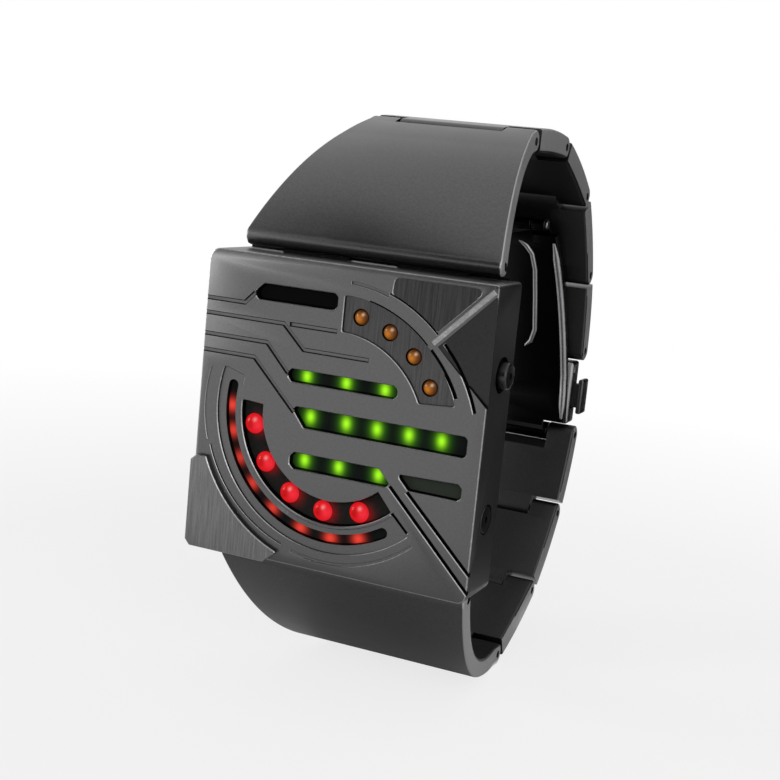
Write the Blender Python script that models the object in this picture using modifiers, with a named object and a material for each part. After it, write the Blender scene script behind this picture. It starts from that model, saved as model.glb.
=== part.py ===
"""A square LED wristwatch on a steel bracelet with a folding clasp, closed as it is worn.

X points right across the dial, Y points from the dial into the bracelet's loop, and Z points up,
towards twelve o'clock. The origin is the centre of the case back's flat face, which lies on the wrist.
"""

import math

import bmesh
import bpy
from mathutils import Matrix, Vector

MM = 0.001

# Case
CASE_WIDTH = 40.0 * MM
CASE_HEIGHT = 39.8 * MM
CASE_DEPTH = 8.4 * MM
CASE_CORNER = 1.3 * MM
CASE_EDGE = 0.35 * MM
FRONT_WALL = 1.8 * MM
SIDE_WALL = 2.6 * MM
SEAT_GAP = 0.3 * MM
CUT_OVERRUN = 1.0 * MM

# Case back
BACK_THICK = 1.3 * MM
BACK_INSET = 0.9 * MM
BACK_CORNER = 3.0 * MM
SCREW_INSET = 3.2 * MM
SCREW_RADIUS = 0.55 * MM
SCREW_HEAD_RADIUS = 1.0 * MM
SCREW_HEAD_THICK = 0.5 * MM
SCREW_HEAD_SINK = 0.15 * MM
SCREW_LENGTH = 3.6 * MM
SCREW_SLOT = 0.3 * MM
FIT = 0.2 * MM
GASKET_START = 0.4 * MM
GASKET_WIDTH = 0.6 * MM
GASKET_DEPTH = 0.45 * MM
GASKET_SINK = 0.35 * MM

# Lugs that carry the bracelet, hidden behind its end
LUG_RADIUS = 1.0 * MM
LUG_WIDTH = 10.0 * MM
LUG_OFFSET = 8.3 * MM
LUG_PIN_RISE = 1.7 * MM
LUG_PIN_INSET = 1.1 * MM
LUG_NECK_FRONT = 0.2 * MM

# Dial relief
GROOVE_DEPTH = 0.45 * MM
GROOVE_WIDTH = 0.55 * MM
LINE_DEPTH = 0.25 * MM
LINE_WIDTH = 0.35 * MM
BAND_DEPTH = 0.4 * MM
BLOCK_RISE = 0.7 * MM
FACET_DEPTH = 1.1 * MM
FACET_START = 0.05 * MM
ARC_STEP_DEGREES = 7.5

# Lamps and module
LENS_SINK = 0.75 * MM
LENS_PLATE = 0.6 * MM
LENS_FIT = 0.15 * MM
LENS_GAP = 0.2 * MM
AMBER_RADIUS = 0.95 * MM
AMBER_RISE = 0.35 * MM
RED_MARGIN = 0.25 * MM
RED_SINK = 0.9 * MM
RED_RISE = 1.1 * MM
LAMP_FIT = 0.15 * MM
BOARD_GAP = 0.9 * MM
BOARD_THICK = 0.6 * MM
CHIP_SIZE = 1.1 * MM
CHIP_HEIGHT = 0.3 * MM
CARRIER_THICK = 0.2 * MM
CARRIER_WIDTH = 1.5 * MM
MODULE_FIT = 0.4 * MM
CELL_RADIUS = 10.0 * MM
CELL_THICK = 1.6 * MM
CELL_SHIFT = 3.0 * MM
CELL_FIT = 0.25 * MM
CLIP_THICK = 0.25 * MM
CLIP_WIDTH = 4.0 * MM
STACK_GAP = 0.2 * MM

# Push buttons in the case's right wall
BUTTON_SETBACK = 4.4 * MM
UPPER_HEAD_RADIUS = 1.7 * MM
UPPER_HEAD_RISE = 1.1 * MM
UPPER_POCKET_RADIUS = 2.3 * MM
LOWER_HEAD_RADIUS = 1.75 * MM
POCKET_DEPTH = 1.0 * MM
BUTTON_TRAVEL = 0.6 * MM
STEM_RADIUS = 0.6 * MM
STEM_REACH = 0.4 * MM
BUTTON_DIMPLE_RADIUS = 0.45 * MM
BUTTON_DIMPLE_DEPTH = 0.25 * MM
STEM_ROOT = 0.3 * MM
SWITCH_SIZE = 2.2 * MM
SWITCH_DEPTH = 1.4 * MM

# Bracelet
STRAP_WIDE = 36.0 * MM
STRAP_NARROW = 25.0 * MM
SHELL_THICK = 2.7 * MM
SHELL_END_RADIUS = 1.4 * MM
SHELL_END_FRONT = 0.6 * MM
SHELL_END_RISE = 0.1 * MM
UPPER_SHELL_BOW = 2.5 * MM
LOWER_SHELL_BOW = 5.0 * MM
SHELL_STEPS = 24
LUG_FIT = 0.3 * MM
LUG_SWING = 0.4 * MM
NECK_STEP = 0.03 * MM
LINK_THICK = 3.2 * MM
LINK_CROWN = 0.55 * MM
LINK_HOLLOW = 0.3 * MM
TONGUE_WIDTH = 15.6 * MM
TONGUE_FIT = 0.3 * MM
HINGE_GAP = 0.35 * MM
PIN_RADIUS = 0.5 * MM
PIN_FIT = 0.1 * MM
PIN_INSET = 0.35 * MM
LINK_EDGE = 0.25 * MM
LINK_STEPS = 8
CAP_STEPS = 6
CAP_DEGREES = 78.0
LOOP_DEPTH = 60.0 * MM
LOOP_RISE = 40.0 * MM

# Folding clasp
CLASP_PLATE = 1.0 * MM
CLASP_SPLIT = 0.36 * MM
CLASP_TOP_WIDTH = 17.0 * MM
CLASP_LOW_WIDTH = 22.6 * MM
CLASP_STEPS = 10
BLADE_WIDTH = 14.0 * MM
TOP_KNUCKLE = 1.1 * MM
TOP_TONGUE_WIDTH = 9.2 * MM
LATCH_KNUCKLE = 0.95 * MM
LATCH_PIN_INSET = 1.0 * MM
LATCH_PIN_DROP = 3.2 * MM
LATCH_WIDTH = 22.6 * MM
LATCH_OUT_REACH = 1.75 * MM
LATCH_IN_REACH = 2.05 * MM
LATCH_COVER = 1.4 * MM
LATCH_END_WALL = 1.0 * MM
BRIDGE_STEP = 0.03 * MM
BASE_INSET = 0.75 * MM
BASE_PLATE_RISE = 2.3 * MM
BASE_NECK_WIDTH = 15.0 * MM
BASE_KNUCKLE = 1.5 * MM
BASE_NECK_RISE = 0.9 * MM
BASE_NECK_SHARE = 0.7
RELEASE_CENTRE = 3.0 * MM
RELEASE_LENGTH = 5.8 * MM
RELEASE_DEPTH = 3.2 * MM
RELEASE_OUT = 13.3 * MM
RELEASE_GAP = 1.1 * MM
RELEASE_STEM_LENGTH = 4.0 * MM
RELEASE_STEM_DEPTH = 1.2 * MM
RELEASE_TRAVEL = 0.8 * MM
STUD_HALF = 1.4 * MM
STUD_LENGTH = 3.0 * MM
STUD_RISE = 1.8 * MM
OPEN_SLOT_FALL = 2.3 * MM

# Places on the dial, as shares of the dial's unit, which is half the case's lesser side
TOP_WINDOW_SHARES = [(-0.64, 0.725), (-0.64, 0.765), (-0.59, 0.8125), (-0.08, 0.8125),
                     (-0.055, 0.79), (-0.055, 0.73), (-0.08, 0.705), (-0.62, 0.705)]
LOW_WINDOW_SHARES = [(0.475, -0.26), (0.875, -0.25), (0.90, -0.275), (0.90, -0.335),
                     (0.875, -0.355), (0.545, -0.352), (0.48, -0.285)]
GREEN_TOP_SHARES = [(-0.36, 0.235), (-0.36, 0.27), (-0.345, 0.292), (0.385, 0.292),
                    (0.41, 0.27), (0.41, 0.232), (0.385, 0.207), (-0.335, 0.207)]
GREEN_MIDDLE_SHARES = [(-0.30, 0.02), (-0.30, 0.04), (-0.285, 0.052), (0.885, 0.052),
                       (0.905, 0.035), (0.905, -0.065), (0.885, -0.08), (-0.22, -0.08)]
GREEN_LOW_SHARES = [(-0.30, -0.33), (-0.30, -0.275), (-0.275, -0.248), (0.335, -0.248),
                    (0.415, -0.335), (0.395, -0.357), (-0.27, -0.357)]
GREEN_CHIP_SHARES = [(-0.24, 0.25), (0.04, 0.25), (0.31, 0.25),
                     (-0.19, -0.007), (0.06, -0.007), (0.28, -0.007), (0.50, -0.007), (0.72, -0.007),
                     (-0.205, -0.295), (0.04, -0.295), (0.32, -0.295)]
LINE_SHARES = [[(-1.0, 0.667), (-0.715, 0.667), (-0.655, 0.727)],
               [(-1.0, 0.57), (-0.42, 0.57), (-0.27, 0.42), (0.19, 0.42)],
               [(-0.375, 0.575), (-0.045, 0.575)],
               [(-1.0, 0.432), (-0.53, 0.432), (-0.375, 0.277)],
               [(-1.0, 0.325), (-0.615, 0.325), (-0.315, 0.025)]]
DIAGONAL_SHARES = [[(0.43, -0.355), (0.985, -0.91)],
                   [(0.545, -0.365), (0.985, -0.805)],
                   [(0.45, -0.515), (0.565, -0.62)]]
BLOCK_SHARES = [(-1.02, -0.42), (-0.975, -0.38), (-0.91, -0.38)]
BLOCK_END_SHARES = [(-0.33, -0.93), (-0.42, -1.01), (-0.985, -1.01), (-1.02, -0.97)]
BLOCK_ARC_SHARE = 0.98
RED_INNER_SHARES = (0.525, 0.68)
RED_OUTER_SHARES = (0.735, 0.805)
RED_LAMP_SHARE = 0.602
AMBER_LAMP_SHARE = 0.693
AMBER_BAND_SHARES = (0.57, 0.82)
RIB_ARC_SHARE = 0.905
OUTER_ARC_SHARE = 0.93
RIM_ARC_SHARE = 0.865
LOWER_ARC_SHARE = 0.935
FACET_SHARES = [(0.64, 0.585), (0.985, 0.93), (1.0, 0.93), (1.0, 0.20)]

# Angles on the dial, counted anticlockwise from three o'clock
BLOCK_ARC_ANGLES = (203.0, 250.0)
RED_INNER_ANGLES = (177.0, 311.0)
RED_OUTER_ANGLES = (171.0, 301.0)
RED_LAMP_ANGLES = [191.0, 216.0, 241.0, 266.0, 291.0]
AMBER_LAMP_ANGLES = [81.0, 63.0, 45.0, 27.0]
AMBER_BAND_ANGLES = (17.0, 90.0)
RIB_ANGLES = (46.0, 87.0)
DARK_ARC_ANGLES = (13.0, 42.0)
RIM_ANGLES = (265.0, 312.0)
LOWER_ARC_ANGLES = (252.0, 312.0)

# Hinge pins of the closed bracelet, as shares of the loop's depth and rise
UPPER_PIN_SHARES = [(0.337, 0.9375), (0.58, 0.9325), (0.812, 0.755), (0.935, 0.435)]
LOWER_PIN_SHARES = [(0.493, -1.0), (0.732, -0.835), (0.893, -0.56)]
LATCH_END_SHARES = (0.975, 0.115)
BASE_END_SHARES = (0.973, -0.245)
TOP_PIVOT_SHARES = (0.775, 0.63)

# Places that follow the case: the corners of its cavity, and how high its buttons stand
CAVITY_CHAMFER_SHARE = 0.3
UPPER_BUTTON_SHARE = 0.432
LOWER_BUTTON_SHARE = 0.4925

# Worked out from the sizes above
BODY_BACK = -(BACK_THICK + SEAT_GAP)
FRONT = BODY_BACK - CASE_DEPTH
HALF_WIDTH = CASE_WIDTH / 2
HALF_HEIGHT = CASE_HEIGHT / 2
DIAL_UNIT = min(HALF_WIDTH, HALF_HEIGHT)
RED_RADIUS = (RED_INNER_SHARES[1] - RED_INNER_SHARES[0]) * DIAL_UNIT / 2 - RED_MARGIN
CAVITY_FRONT = FRONT + FRONT_WALL
CAVITY_HALF_X = HALF_WIDTH - SIDE_WALL
CAVITY_HALF_Z = HALF_HEIGHT - SIDE_WALL
CAVITY_CHAMFER = CAVITY_CHAMFER_SHARE * DIAL_UNIT
BORE_RADIUS = PIN_RADIUS + PIN_FIT
LENS_FACE = FRONT + LENS_SINK
LENS_BACK = CAVITY_FRONT + LENS_GAP + LENS_PLATE
BOARD_FACE = LENS_BACK + BOARD_GAP
BOARD_BACK = BOARD_FACE + BOARD_THICK
LINK_HALF = LINK_THICK / 2
SHELL_HALF = SHELL_THICK / 2
LATCH_OUTER = LATCH_END_SHARES[0] * LOOP_DEPTH + LATCH_OUT_REACH
LATCH_INNER = LATCH_END_SHARES[0] * LOOP_DEPTH - LATCH_IN_REACH
BASE_PIN_FALL = -BASE_END_SHARES[1] * LOOP_RISE
LATCH_LOW = BASE_PIN_FALL - LINK_HALF - HINGE_GAP
BASE_LOW = BASE_PIN_FALL - BASE_PLATE_RISE
BASE_NECK_LOW = BASE_PIN_FALL - BASE_NECK_RISE


def clear_scene():
    for obj in list(bpy.data.objects):
        bpy.data.objects.remove(obj, do_unlink=True)


def new_collection(name):
    collection = bpy.data.collections.new(name)
    bpy.context.scene.collection.children.link(collection)
    return collection


def make_material(name, colour, roughness, metallic):
    material = bpy.data.materials.new(name)
    material.use_nodes = True
    shader = material.node_tree.nodes["Principled BSDF"]
    shader.inputs["Base Color"].default_value = (*colour, 1.0)
    shader.inputs["Roughness"].default_value = roughness
    shader.inputs["Metallic"].default_value = metallic
    material.diffuse_color = (*colour, 1.0)
    return material


clear_scene()
WATCH = new_collection("led_watch")
CUTTERS = new_collection("cutters")
GUNMETAL = make_material("gunmetal", (0.13, 0.13, 0.135), 0.38, 1.0)
STRAP_STEEL = make_material("strap_steel", (0.12, 0.12, 0.125), 0.35, 1.0)
POLISHED = make_material("polished_black", (0.03, 0.03, 0.035), 0.12, 1.0)
PIN_STEEL = make_material("pin_steel", (0.45, 0.45, 0.46), 0.3, 1.0)
SMOKED = make_material("smoked_acrylic", (0.012, 0.014, 0.012), 0.15, 0.0)
RED_LAMP = make_material("red_lamp", (0.75, 0.01, 0.02), 0.15, 0.0)
AMBER_LAMP = make_material("amber_lamp", (0.55, 0.22, 0.04), 0.15, 0.0)
BOARD_GREEN = make_material("board_green", (0.02, 0.10, 0.04), 0.5, 0.0)
BLACK_PLASTIC = make_material("black_plastic", (0.02, 0.02, 0.02), 0.5, 0.0)
RUBBER = make_material("rubber", (0.015, 0.015, 0.015), 0.8, 0.0)
CELL_STEEL = make_material("cell_steel", (0.6, 0.6, 0.6), 0.25, 1.0)


def add_object(name, bm, material=None, collection=None):
    """Makes an object of the bmesh. Without a material it is a hidden cutter."""
    bmesh.ops.recalc_face_normals(bm, faces=bm.faces)
    mesh = bpy.data.meshes.new(name)
    bm.to_mesh(mesh)
    bm.free()
    obj = bpy.data.objects.new(name, mesh)
    if material is None:
        obj.hide_render = True
        obj.display_type = "WIRE"
        CUTTERS.objects.link(obj)
        return obj
    mesh.materials.append(material)
    (collection or WATCH).objects.link(obj)
    return obj


def extrude_outline(bm, outline, plane, low, high):
    """Extrudes a closed outline: plane "YZ" along X, or plane "XZ" along Y."""
    def point(a, b, along):
        return (along, a, b) if plane == "YZ" else (a, along, b)

    face = bm.faces.new([bm.verts.new(point(a, b, low)) for a, b in outline])
    caps = bmesh.ops.triangulate(bm, faces=[face])["faces"]
    grown = bmesh.ops.extrude_face_region(bm, geom=caps)["geom"]
    moved = [item for item in grown if isinstance(item, bmesh.types.BMVert)]
    step = Vector((high - low, 0, 0)) if plane == "YZ" else Vector((0, high - low, 0))
    bmesh.ops.translate(bm, verts=moved, vec=step)


def prism(name, outline, plane, low, high, material=None):
    bm = bmesh.new()
    extrude_outline(bm, outline, plane, low, high)
    return add_object(name, bm, material)


def box(name, low, high, material=None):
    bm = bmesh.new()
    bmesh.ops.create_cube(bm, size=1.0)
    low = Vector(low)
    high = Vector(high)
    bmesh.ops.scale(bm, vec=high - low, verts=bm.verts)
    bmesh.ops.translate(bm, vec=(low + high) / 2, verts=bm.verts)
    return add_object(name, bm, material)


def rod(name, radius, start, end, sides=16, material=None, end_radius=None):
    """A cylinder or cone from one point to another."""
    start = Vector(start)
    end = Vector(end)
    bm = bmesh.new()
    turn = (end - start).to_track_quat("Z", "Y").to_matrix().to_4x4()
    place = Matrix.Translation((start + end) / 2) @ turn
    bmesh.ops.create_cone(bm, cap_ends=True, segments=sides, radius1=radius,
                          radius2=radius if end_radius is None else end_radius,
                          depth=(end - start).length, matrix=place)
    obj = add_object(name, bm, material)
    if material is not None:
        obj.data.shade_smooth()
        obj.data.set_sharp_from_angle(angle=math.radians(40))
    return obj


def apply_boolean(obj, other, operation):
    modifier = obj.modifiers.new(operation.lower(), "BOOLEAN")
    modifier.object = other
    modifier.operation = operation
    modifier.solver = "EXACT"


def cut(obj, *cutters):
    for cutter in cutters:
        apply_boolean(obj, cutter, "DIFFERENCE")


def join(obj, *others):
    for other in others:
        apply_boolean(obj, other, "UNION")


def seat(obj, empty):
    """Moves the object's origin to its joint's empty, and parents it there."""
    obj.data.transform(Matrix.Translation(-empty.matrix_world.translation))
    obj.parent = empty


def joint_empty(name, place, parent=None):
    empty = bpy.data.objects.new(name, None)
    WATCH.objects.link(empty)
    empty.parent = parent
    base = parent.matrix_world.translation if parent else Vector((0, 0, 0))
    empty.location = Vector(place) - base
    bpy.context.view_layer.update()
    return empty


def dial_outline(shares, corner=(0, 0)):
    """Places on the dial. Those that belong to a corner of the case keep their distance to it."""
    shift_x = corner[0] * (HALF_WIDTH - DIAL_UNIT)
    shift_z = corner[1] * (HALF_HEIGHT - DIAL_UNIT)
    return [(x * DIAL_UNIT + shift_x, z * DIAL_UNIT + shift_z) for x, z in shares]


def line_points(shares):
    """The points of a groove's middle line. One that starts at the dial's left edge runs out there."""
    points = dial_outline(shares)
    if shares[0][0] <= -1.0:
        points[0] = (-HALF_WIDTH, points[0][1])
    return points


def arc(radius, start, end, centre=(0.0, 0.0)):
    """Points on an arc, from one angle in degrees to another."""
    steps = max(2, round(abs(end - start) / ARC_STEP_DEGREES))
    angles = [math.radians(start + (end - start) * step / steps) for step in range(steps + 1)]
    return [(centre[0] + radius * math.cos(a), centre[1] + radius * math.sin(a)) for a in angles]


def band(inner, outer, angles, grow=0.0, rounded=False):
    """The outline of a curved slot between two radii. A rounded one has half-round ends."""
    middle = (inner + outer) / 2
    half = (outer - inner) / 2 + grow
    start, end = angles
    if rounded:
        first = Vector(arc(middle, start, end)[0])
        last = Vector(arc(middle, start, end)[-1])
        return (arc(middle + half, start, end) + arc(half, end, end + 180.0, last)[1:-1]
                + arc(middle - half, end, start) + arc(half, start + 180.0, start + 360.0, first)[1:-1])
    spare = math.degrees(grow / middle)
    return arc(middle + half, start - spare, end + spare) + arc(middle - half, end + spare, start - spare)


def stroke(points, width, grow_ends=0.0):
    """The outline of a line of a given width through the points."""
    points = [Vector(point) for point in points]
    points[0] = points[0] - (points[1] - points[0]).normalized() * grow_ends
    points[-1] = points[-1] + (points[-1] - points[-2]).normalized() * grow_ends
    left = []
    right = []
    for index, point in enumerate(points):
        before = (point - points[index - 1]).normalized() if index else None
        after = (points[index + 1] - point).normalized() if index + 1 < len(points) else None
        before = before or after
        after = after or before
        ahead = (before + after).normalized()
        side = Vector((-ahead.y, ahead.x))
        reach = width / 2 / max(0.5, ahead.dot(after))
        left.append(tuple(point + side * reach))
        right.append(tuple(point - side * reach))
    return left + right[::-1]


def offset_outline(outline, grow):
    """The same outline, grown by moving each edge outwards."""
    points = [Vector(point) for point in outline]
    area = sum(a.cross(b) for a, b in zip(points, points[1:] + points[:1]))
    sign = 1.0 if area > 0 else -1.0
    grown = []
    for index, point in enumerate(points):
        before = (point - points[index - 1]).normalized()
        after = (points[(index + 1) % len(points)] - point).normalized()
        normal = (Vector((before.y, -before.x)) + Vector((after.y, -after.x))).normalized() * sign
        lean = max(0.4, normal.dot(Vector((after.y, -after.x)) * sign))
        grown.append(tuple(point + normal * (grow / lean)))
    return grown


def rounded_square(half_x, half_z, chamfer):
    """A rectangle on the dial's plane with its corners cut or rounded."""
    corners = []
    for sign_x, sign_z, start in ((1, 1, 0.0), (-1, 1, 90.0), (-1, -1, 180.0), (1, -1, 270.0)):
        centre = (sign_x * (half_x - chamfer), sign_z * (half_z - chamfer))
        corners += [(centre[0] + chamfer * math.cos(math.radians(start + turn)),
                     centre[1] + chamfer * math.sin(math.radians(start + turn)))
                    for turn in (0.0, 22.5, 45.0, 67.5, 90.0)]
    return corners


def octagon(half_x, half_z, chamfer):
    return [(half_x, half_z - chamfer), (half_x - chamfer, half_z), (-half_x + chamfer, half_z),
            (-half_x, half_z - chamfer), (-half_x, -half_z + chamfer), (-half_x + chamfer, -half_z),
            (half_x - chamfer, -half_z), (half_x, -half_z + chamfer)]


def face_cut(obj, name, outline, depth, through=False):
    """Cuts an outline into the dial, to a depth or through the front wall."""
    bottom = CAVITY_FRONT + CUT_OVERRUN if through else FRONT + depth
    cut(obj, prism(name, outline, "XZ", FRONT - BLOCK_RISE - CUT_OVERRUN, bottom))


def slot_outlines():
    """Every opening in the dial behind which the smoked lens stands."""
    return {
        "top_window": dial_outline(TOP_WINDOW_SHARES),
        "low_window": dial_outline(LOW_WINDOW_SHARES),
        "green_top": dial_outline(GREEN_TOP_SHARES),
        "green_middle": dial_outline(GREEN_MIDDLE_SHARES),
        "green_low": dial_outline(GREEN_LOW_SHARES),
        "red_inner": band(RED_INNER_SHARES[0] * DIAL_UNIT, RED_INNER_SHARES[1] * DIAL_UNIT,
                          RED_INNER_ANGLES),
        "red_outer": band(RED_OUTER_SHARES[0] * DIAL_UNIT, RED_OUTER_SHARES[1] * DIAL_UNIT,
                          RED_OUTER_ANGLES, rounded=True),
    }


def lamp_places(share, angles):
    return [(share * DIAL_UNIT * math.cos(math.radians(a)), share * DIAL_UNIT * math.sin(math.radians(a)))
            for a in angles]


def lug_pin(side):
    return Vector((0, BODY_BACK - LUG_PIN_INSET, side * (HALF_HEIGHT + LUG_PIN_RISE)))


def screw_places():
    reach_x = HALF_WIDTH - SCREW_INSET - BACK_INSET + FIT
    reach_z = HALF_HEIGHT - SCREW_INSET - BACK_INSET + FIT
    return [(sx * reach_x, sz * reach_z) for sx, sz in ((1, 1), (-1, 1), (-1, -1), (1, -1))]


def button_place(side):
    share = UPPER_BUTTON_SHARE if side > 0 else LOWER_BUTTON_SHARE
    return (FRONT + BUTTON_SETBACK, side * share * HALF_HEIGHT)


def build_case_body(root):
    """The milled steel case: relief on its front, lugs above and below, open at the back."""
    body = prism("case_body", rounded_square(HALF_WIDTH, HALF_HEIGHT, CASE_CORNER), "XZ",
                 FRONT, BODY_BACK, GUNMETAL)
    bevel = body.modifiers.new("edge", "BEVEL")
    bevel.width = CASE_EDGE
    bevel.segments = 1
    bevel.limit_method = "ANGLE"
    bevel.angle_limit = math.radians(50)
    inner_arc = arc(BLOCK_ARC_SHARE * DIAL_UNIT, *BLOCK_ARC_ANGLES,
                    centre=(DIAL_UNIT - HALF_WIDTH, DIAL_UNIT - HALF_HEIGHT))
    block = (dial_outline(BLOCK_SHARES, (-1, -1)) + inner_arc + dial_outline(BLOCK_END_SHARES, (-1, -1)))
    join(body, prism("block_piece", block, "XZ", FRONT - BLOCK_RISE, FRONT + CUT_OVERRUN))
    for side in (1, -1):
        pin = lug_pin(side)
        for hand in (1, -1):
            low = hand * LUG_OFFSET - LUG_WIDTH / 2
            high = hand * LUG_OFFSET + LUG_WIDTH / 2
            neck_foot = side * (HALF_HEIGHT - CUT_OVERRUN)
            neck = box("lug_neck", (low + FIT / 2, pin.y - LUG_NECK_FRONT, min(neck_foot, pin.z)),
                       (high - FIT / 2, pin.y + LUG_RADIUS - CASE_EDGE, max(neck_foot, pin.z)))
            lug = rod("lug", LUG_RADIUS, (low, pin.y, pin.z), (high, pin.y, pin.z), sides=20)
            join(body, neck, lug)
        cut(body, rod("lug_bore", BORE_RADIUS, (-STRAP_WIDE, pin.y, pin.z), (STRAP_WIDE, pin.y, pin.z),
                      sides=12))
    cavity = octagon(CAVITY_HALF_X, CAVITY_HALF_Z, CAVITY_CHAMFER)
    cut(body, prism("cavity", cavity, "XZ", CAVITY_FRONT, BODY_BACK + CUT_OVERRUN))
    cut_dial(body)
    for x, z in screw_places():
        cut(body, rod("screw_hole", SCREW_RADIUS + FIT, (x, BODY_BACK + CUT_OVERRUN, z),
                      (x, BODY_BACK - SCREW_LENGTH, z), sides=12))
    cut_button_bores(body)
    seat(body, root)
    return body


def cut_dial(body):
    """Windows, lamp holes, grooves, arcs and the sloped facet of the dial."""
    for name, outline in slot_outlines().items():
        face_cut(body, name, outline, FRONT_WALL, through=True)
    band_outline = band(AMBER_BAND_SHARES[0] * DIAL_UNIT, AMBER_BAND_SHARES[1] * DIAL_UNIT,
                        AMBER_BAND_ANGLES)
    face_cut(body, "amber_band", band_outline, BAND_DEPTH)
    for x, z in lamp_places(AMBER_LAMP_SHARE, AMBER_LAMP_ANGLES):
        cut(body, rod("amber_hole", AMBER_RADIUS + LAMP_FIT, (x, FRONT - CUT_OVERRUN, z),
                      (x, CAVITY_FRONT + CUT_OVERRUN, z), sides=16))
    for shares in LINE_SHARES:
        face_cut(body, "line", stroke(line_points(shares), LINE_WIDTH, CUT_OVERRUN), LINE_DEPTH)
    for shares in DIAGONAL_SHARES:
        face_cut(body, "diagonal", stroke(dial_outline(shares), GROOVE_WIDTH), GROOVE_DEPTH)
    arcs = [(RIB_ARC_SHARE, RIB_ANGLES, LINE_WIDTH, LINE_DEPTH),
            (OUTER_ARC_SHARE, DARK_ARC_ANGLES, GROOVE_WIDTH, GROOVE_DEPTH),
            (RIM_ARC_SHARE, RIM_ANGLES, LINE_WIDTH, LINE_DEPTH),
            (LOWER_ARC_SHARE, LOWER_ARC_ANGLES, LINE_WIDTH, LINE_DEPTH)]
    for share, angles, width, depth in arcs:
        radius = share * DIAL_UNIT
        face_cut(body, "arc_groove", band(radius - width / 2, radius + width / 2, angles), depth)
    cut(body, facet_cutter())


def facet_cutter():
    """A wedge that slopes the dial's upper right away towards the case's side."""
    corner_a, corner_b, corner_c, corner_d = dial_outline(FACET_SHARES, (1, 1))
    bm = bmesh.new()
    reach = CUT_OVERRUN
    top = FRONT - BLOCK_RISE - CUT_OVERRUN
    places = [(corner_a[0], FRONT + FACET_START, corner_a[1]),
              (corner_b[0], FRONT + FACET_START, corner_b[1]),
              (corner_c[0] + reach, FRONT + FACET_DEPTH, corner_c[1]),
              (corner_d[0] + reach, FRONT + FACET_DEPTH, corner_d[1])]
    for x, y, z in places:
        bm.verts.new((x, y, z))
        bm.verts.new((x, top, z))
    bmesh.ops.convex_hull(bm, input=bm.verts)
    return add_object("facet", bm)


def cut_button_bores(body):
    for side, head in ((1, UPPER_POCKET_RADIUS), (-1, LOWER_HEAD_RADIUS + FIT)):
        y, z = button_place(side)
        cut(body, rod("button_pocket", head, (HALF_WIDTH - POCKET_DEPTH - BUTTON_TRAVEL, y, z),
                      (HALF_WIDTH + CUT_OVERRUN, y, z), sides=24))
        cut(body, rod("stem_bore", STEM_RADIUS + FIT, (CAVITY_HALF_X - CUT_OVERRUN, y, z),
                      (HALF_WIDTH, y, z), sides=12))


def build_buttons(root):
    """Two push-pieces: the upper one stands out of a round pocket, the lower one lies flush."""
    heads = {1: ("upper_button", UPPER_HEAD_RADIUS, UPPER_HEAD_RISE),
             -1: ("lower_button", LOWER_HEAD_RADIUS, 0.0)}
    for side, (name, radius, rise) in heads.items():
        y, z = button_place(side)
        empty = joint_empty(name + "_axis", (HALF_WIDTH, y, z), root)
        inner = HALF_WIDTH - POCKET_DEPTH
        tip = CAVITY_HALF_X - STEM_REACH
        outer = HALF_WIDTH + rise
        head = rod(name, radius, (inner, y, z), (outer, y, z), sides=24, material=GUNMETAL)
        join(head, rod("stem", STEM_RADIUS, (tip, y, z), (inner + STEM_ROOT, y, z), sides=12))
        cut(head, rod("dimple", BUTTON_DIMPLE_RADIUS, (outer - BUTTON_DIMPLE_DEPTH, y, z),
                      (outer + CUT_OVERRUN, y, z), sides=12))
        seat(head, empty)
        face = tip - STACK_GAP - BUTTON_TRAVEL
        switch = box(name.replace("button", "switch"),
                     (face - SWITCH_DEPTH, BOARD_BACK + STACK_GAP, z - SWITCH_SIZE / 2),
                     (face, BOARD_BACK + STACK_GAP + SWITCH_SIZE, z + SWITCH_SIZE / 2), BLACK_PLASTIC)
        seat(switch, root)


def build_case_back(root):
    """A screwed steel cover with its rubber seal and four countersunk screws."""
    half_x = HALF_WIDTH - BACK_INSET
    half_z = HALF_HEIGHT - BACK_INSET
    cover = prism("case_back", rounded_square(half_x, half_z, BACK_CORNER), "XZ", -BACK_THICK, 0.0, GUNMETAL)
    for number, (x, z) in enumerate(screw_places(), 1):
        head_bottom = -(SCREW_HEAD_THICK + SCREW_HEAD_SINK)
        cut(cover, rod("screw_way", SCREW_RADIUS + FIT, (x, CUT_OVERRUN, z),
                       (x, -BACK_THICK - CUT_OVERRUN, z), sides=12))
        cut(cover, rod("screw_sink", SCREW_HEAD_RADIUS + FIT, (x, CUT_OVERRUN, z), (x, head_bottom - FIT, z),
                       sides=16))
        screw = rod(f"case_back_screw_{number}", SCREW_HEAD_RADIUS, (x, head_bottom, z),
                    (x, -SCREW_HEAD_SINK, z), sides=16, material=PIN_STEEL)
        join(screw, rod("shank", SCREW_RADIUS, (x, BODY_BACK - SCREW_LENGTH + FIT, z),
                        (x, head_bottom + FIT / 2, z), sides=10))
        cut(screw, box("slot", (x - SCREW_HEAD_RADIUS * 2, -SCREW_HEAD_SINK - FIT, z - SCREW_SLOT / 2),
                       (x + SCREW_HEAD_RADIUS * 2, CUT_OVERRUN, z + SCREW_SLOT / 2)))
        seat(screw, root)
    seat(cover, root)


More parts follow.
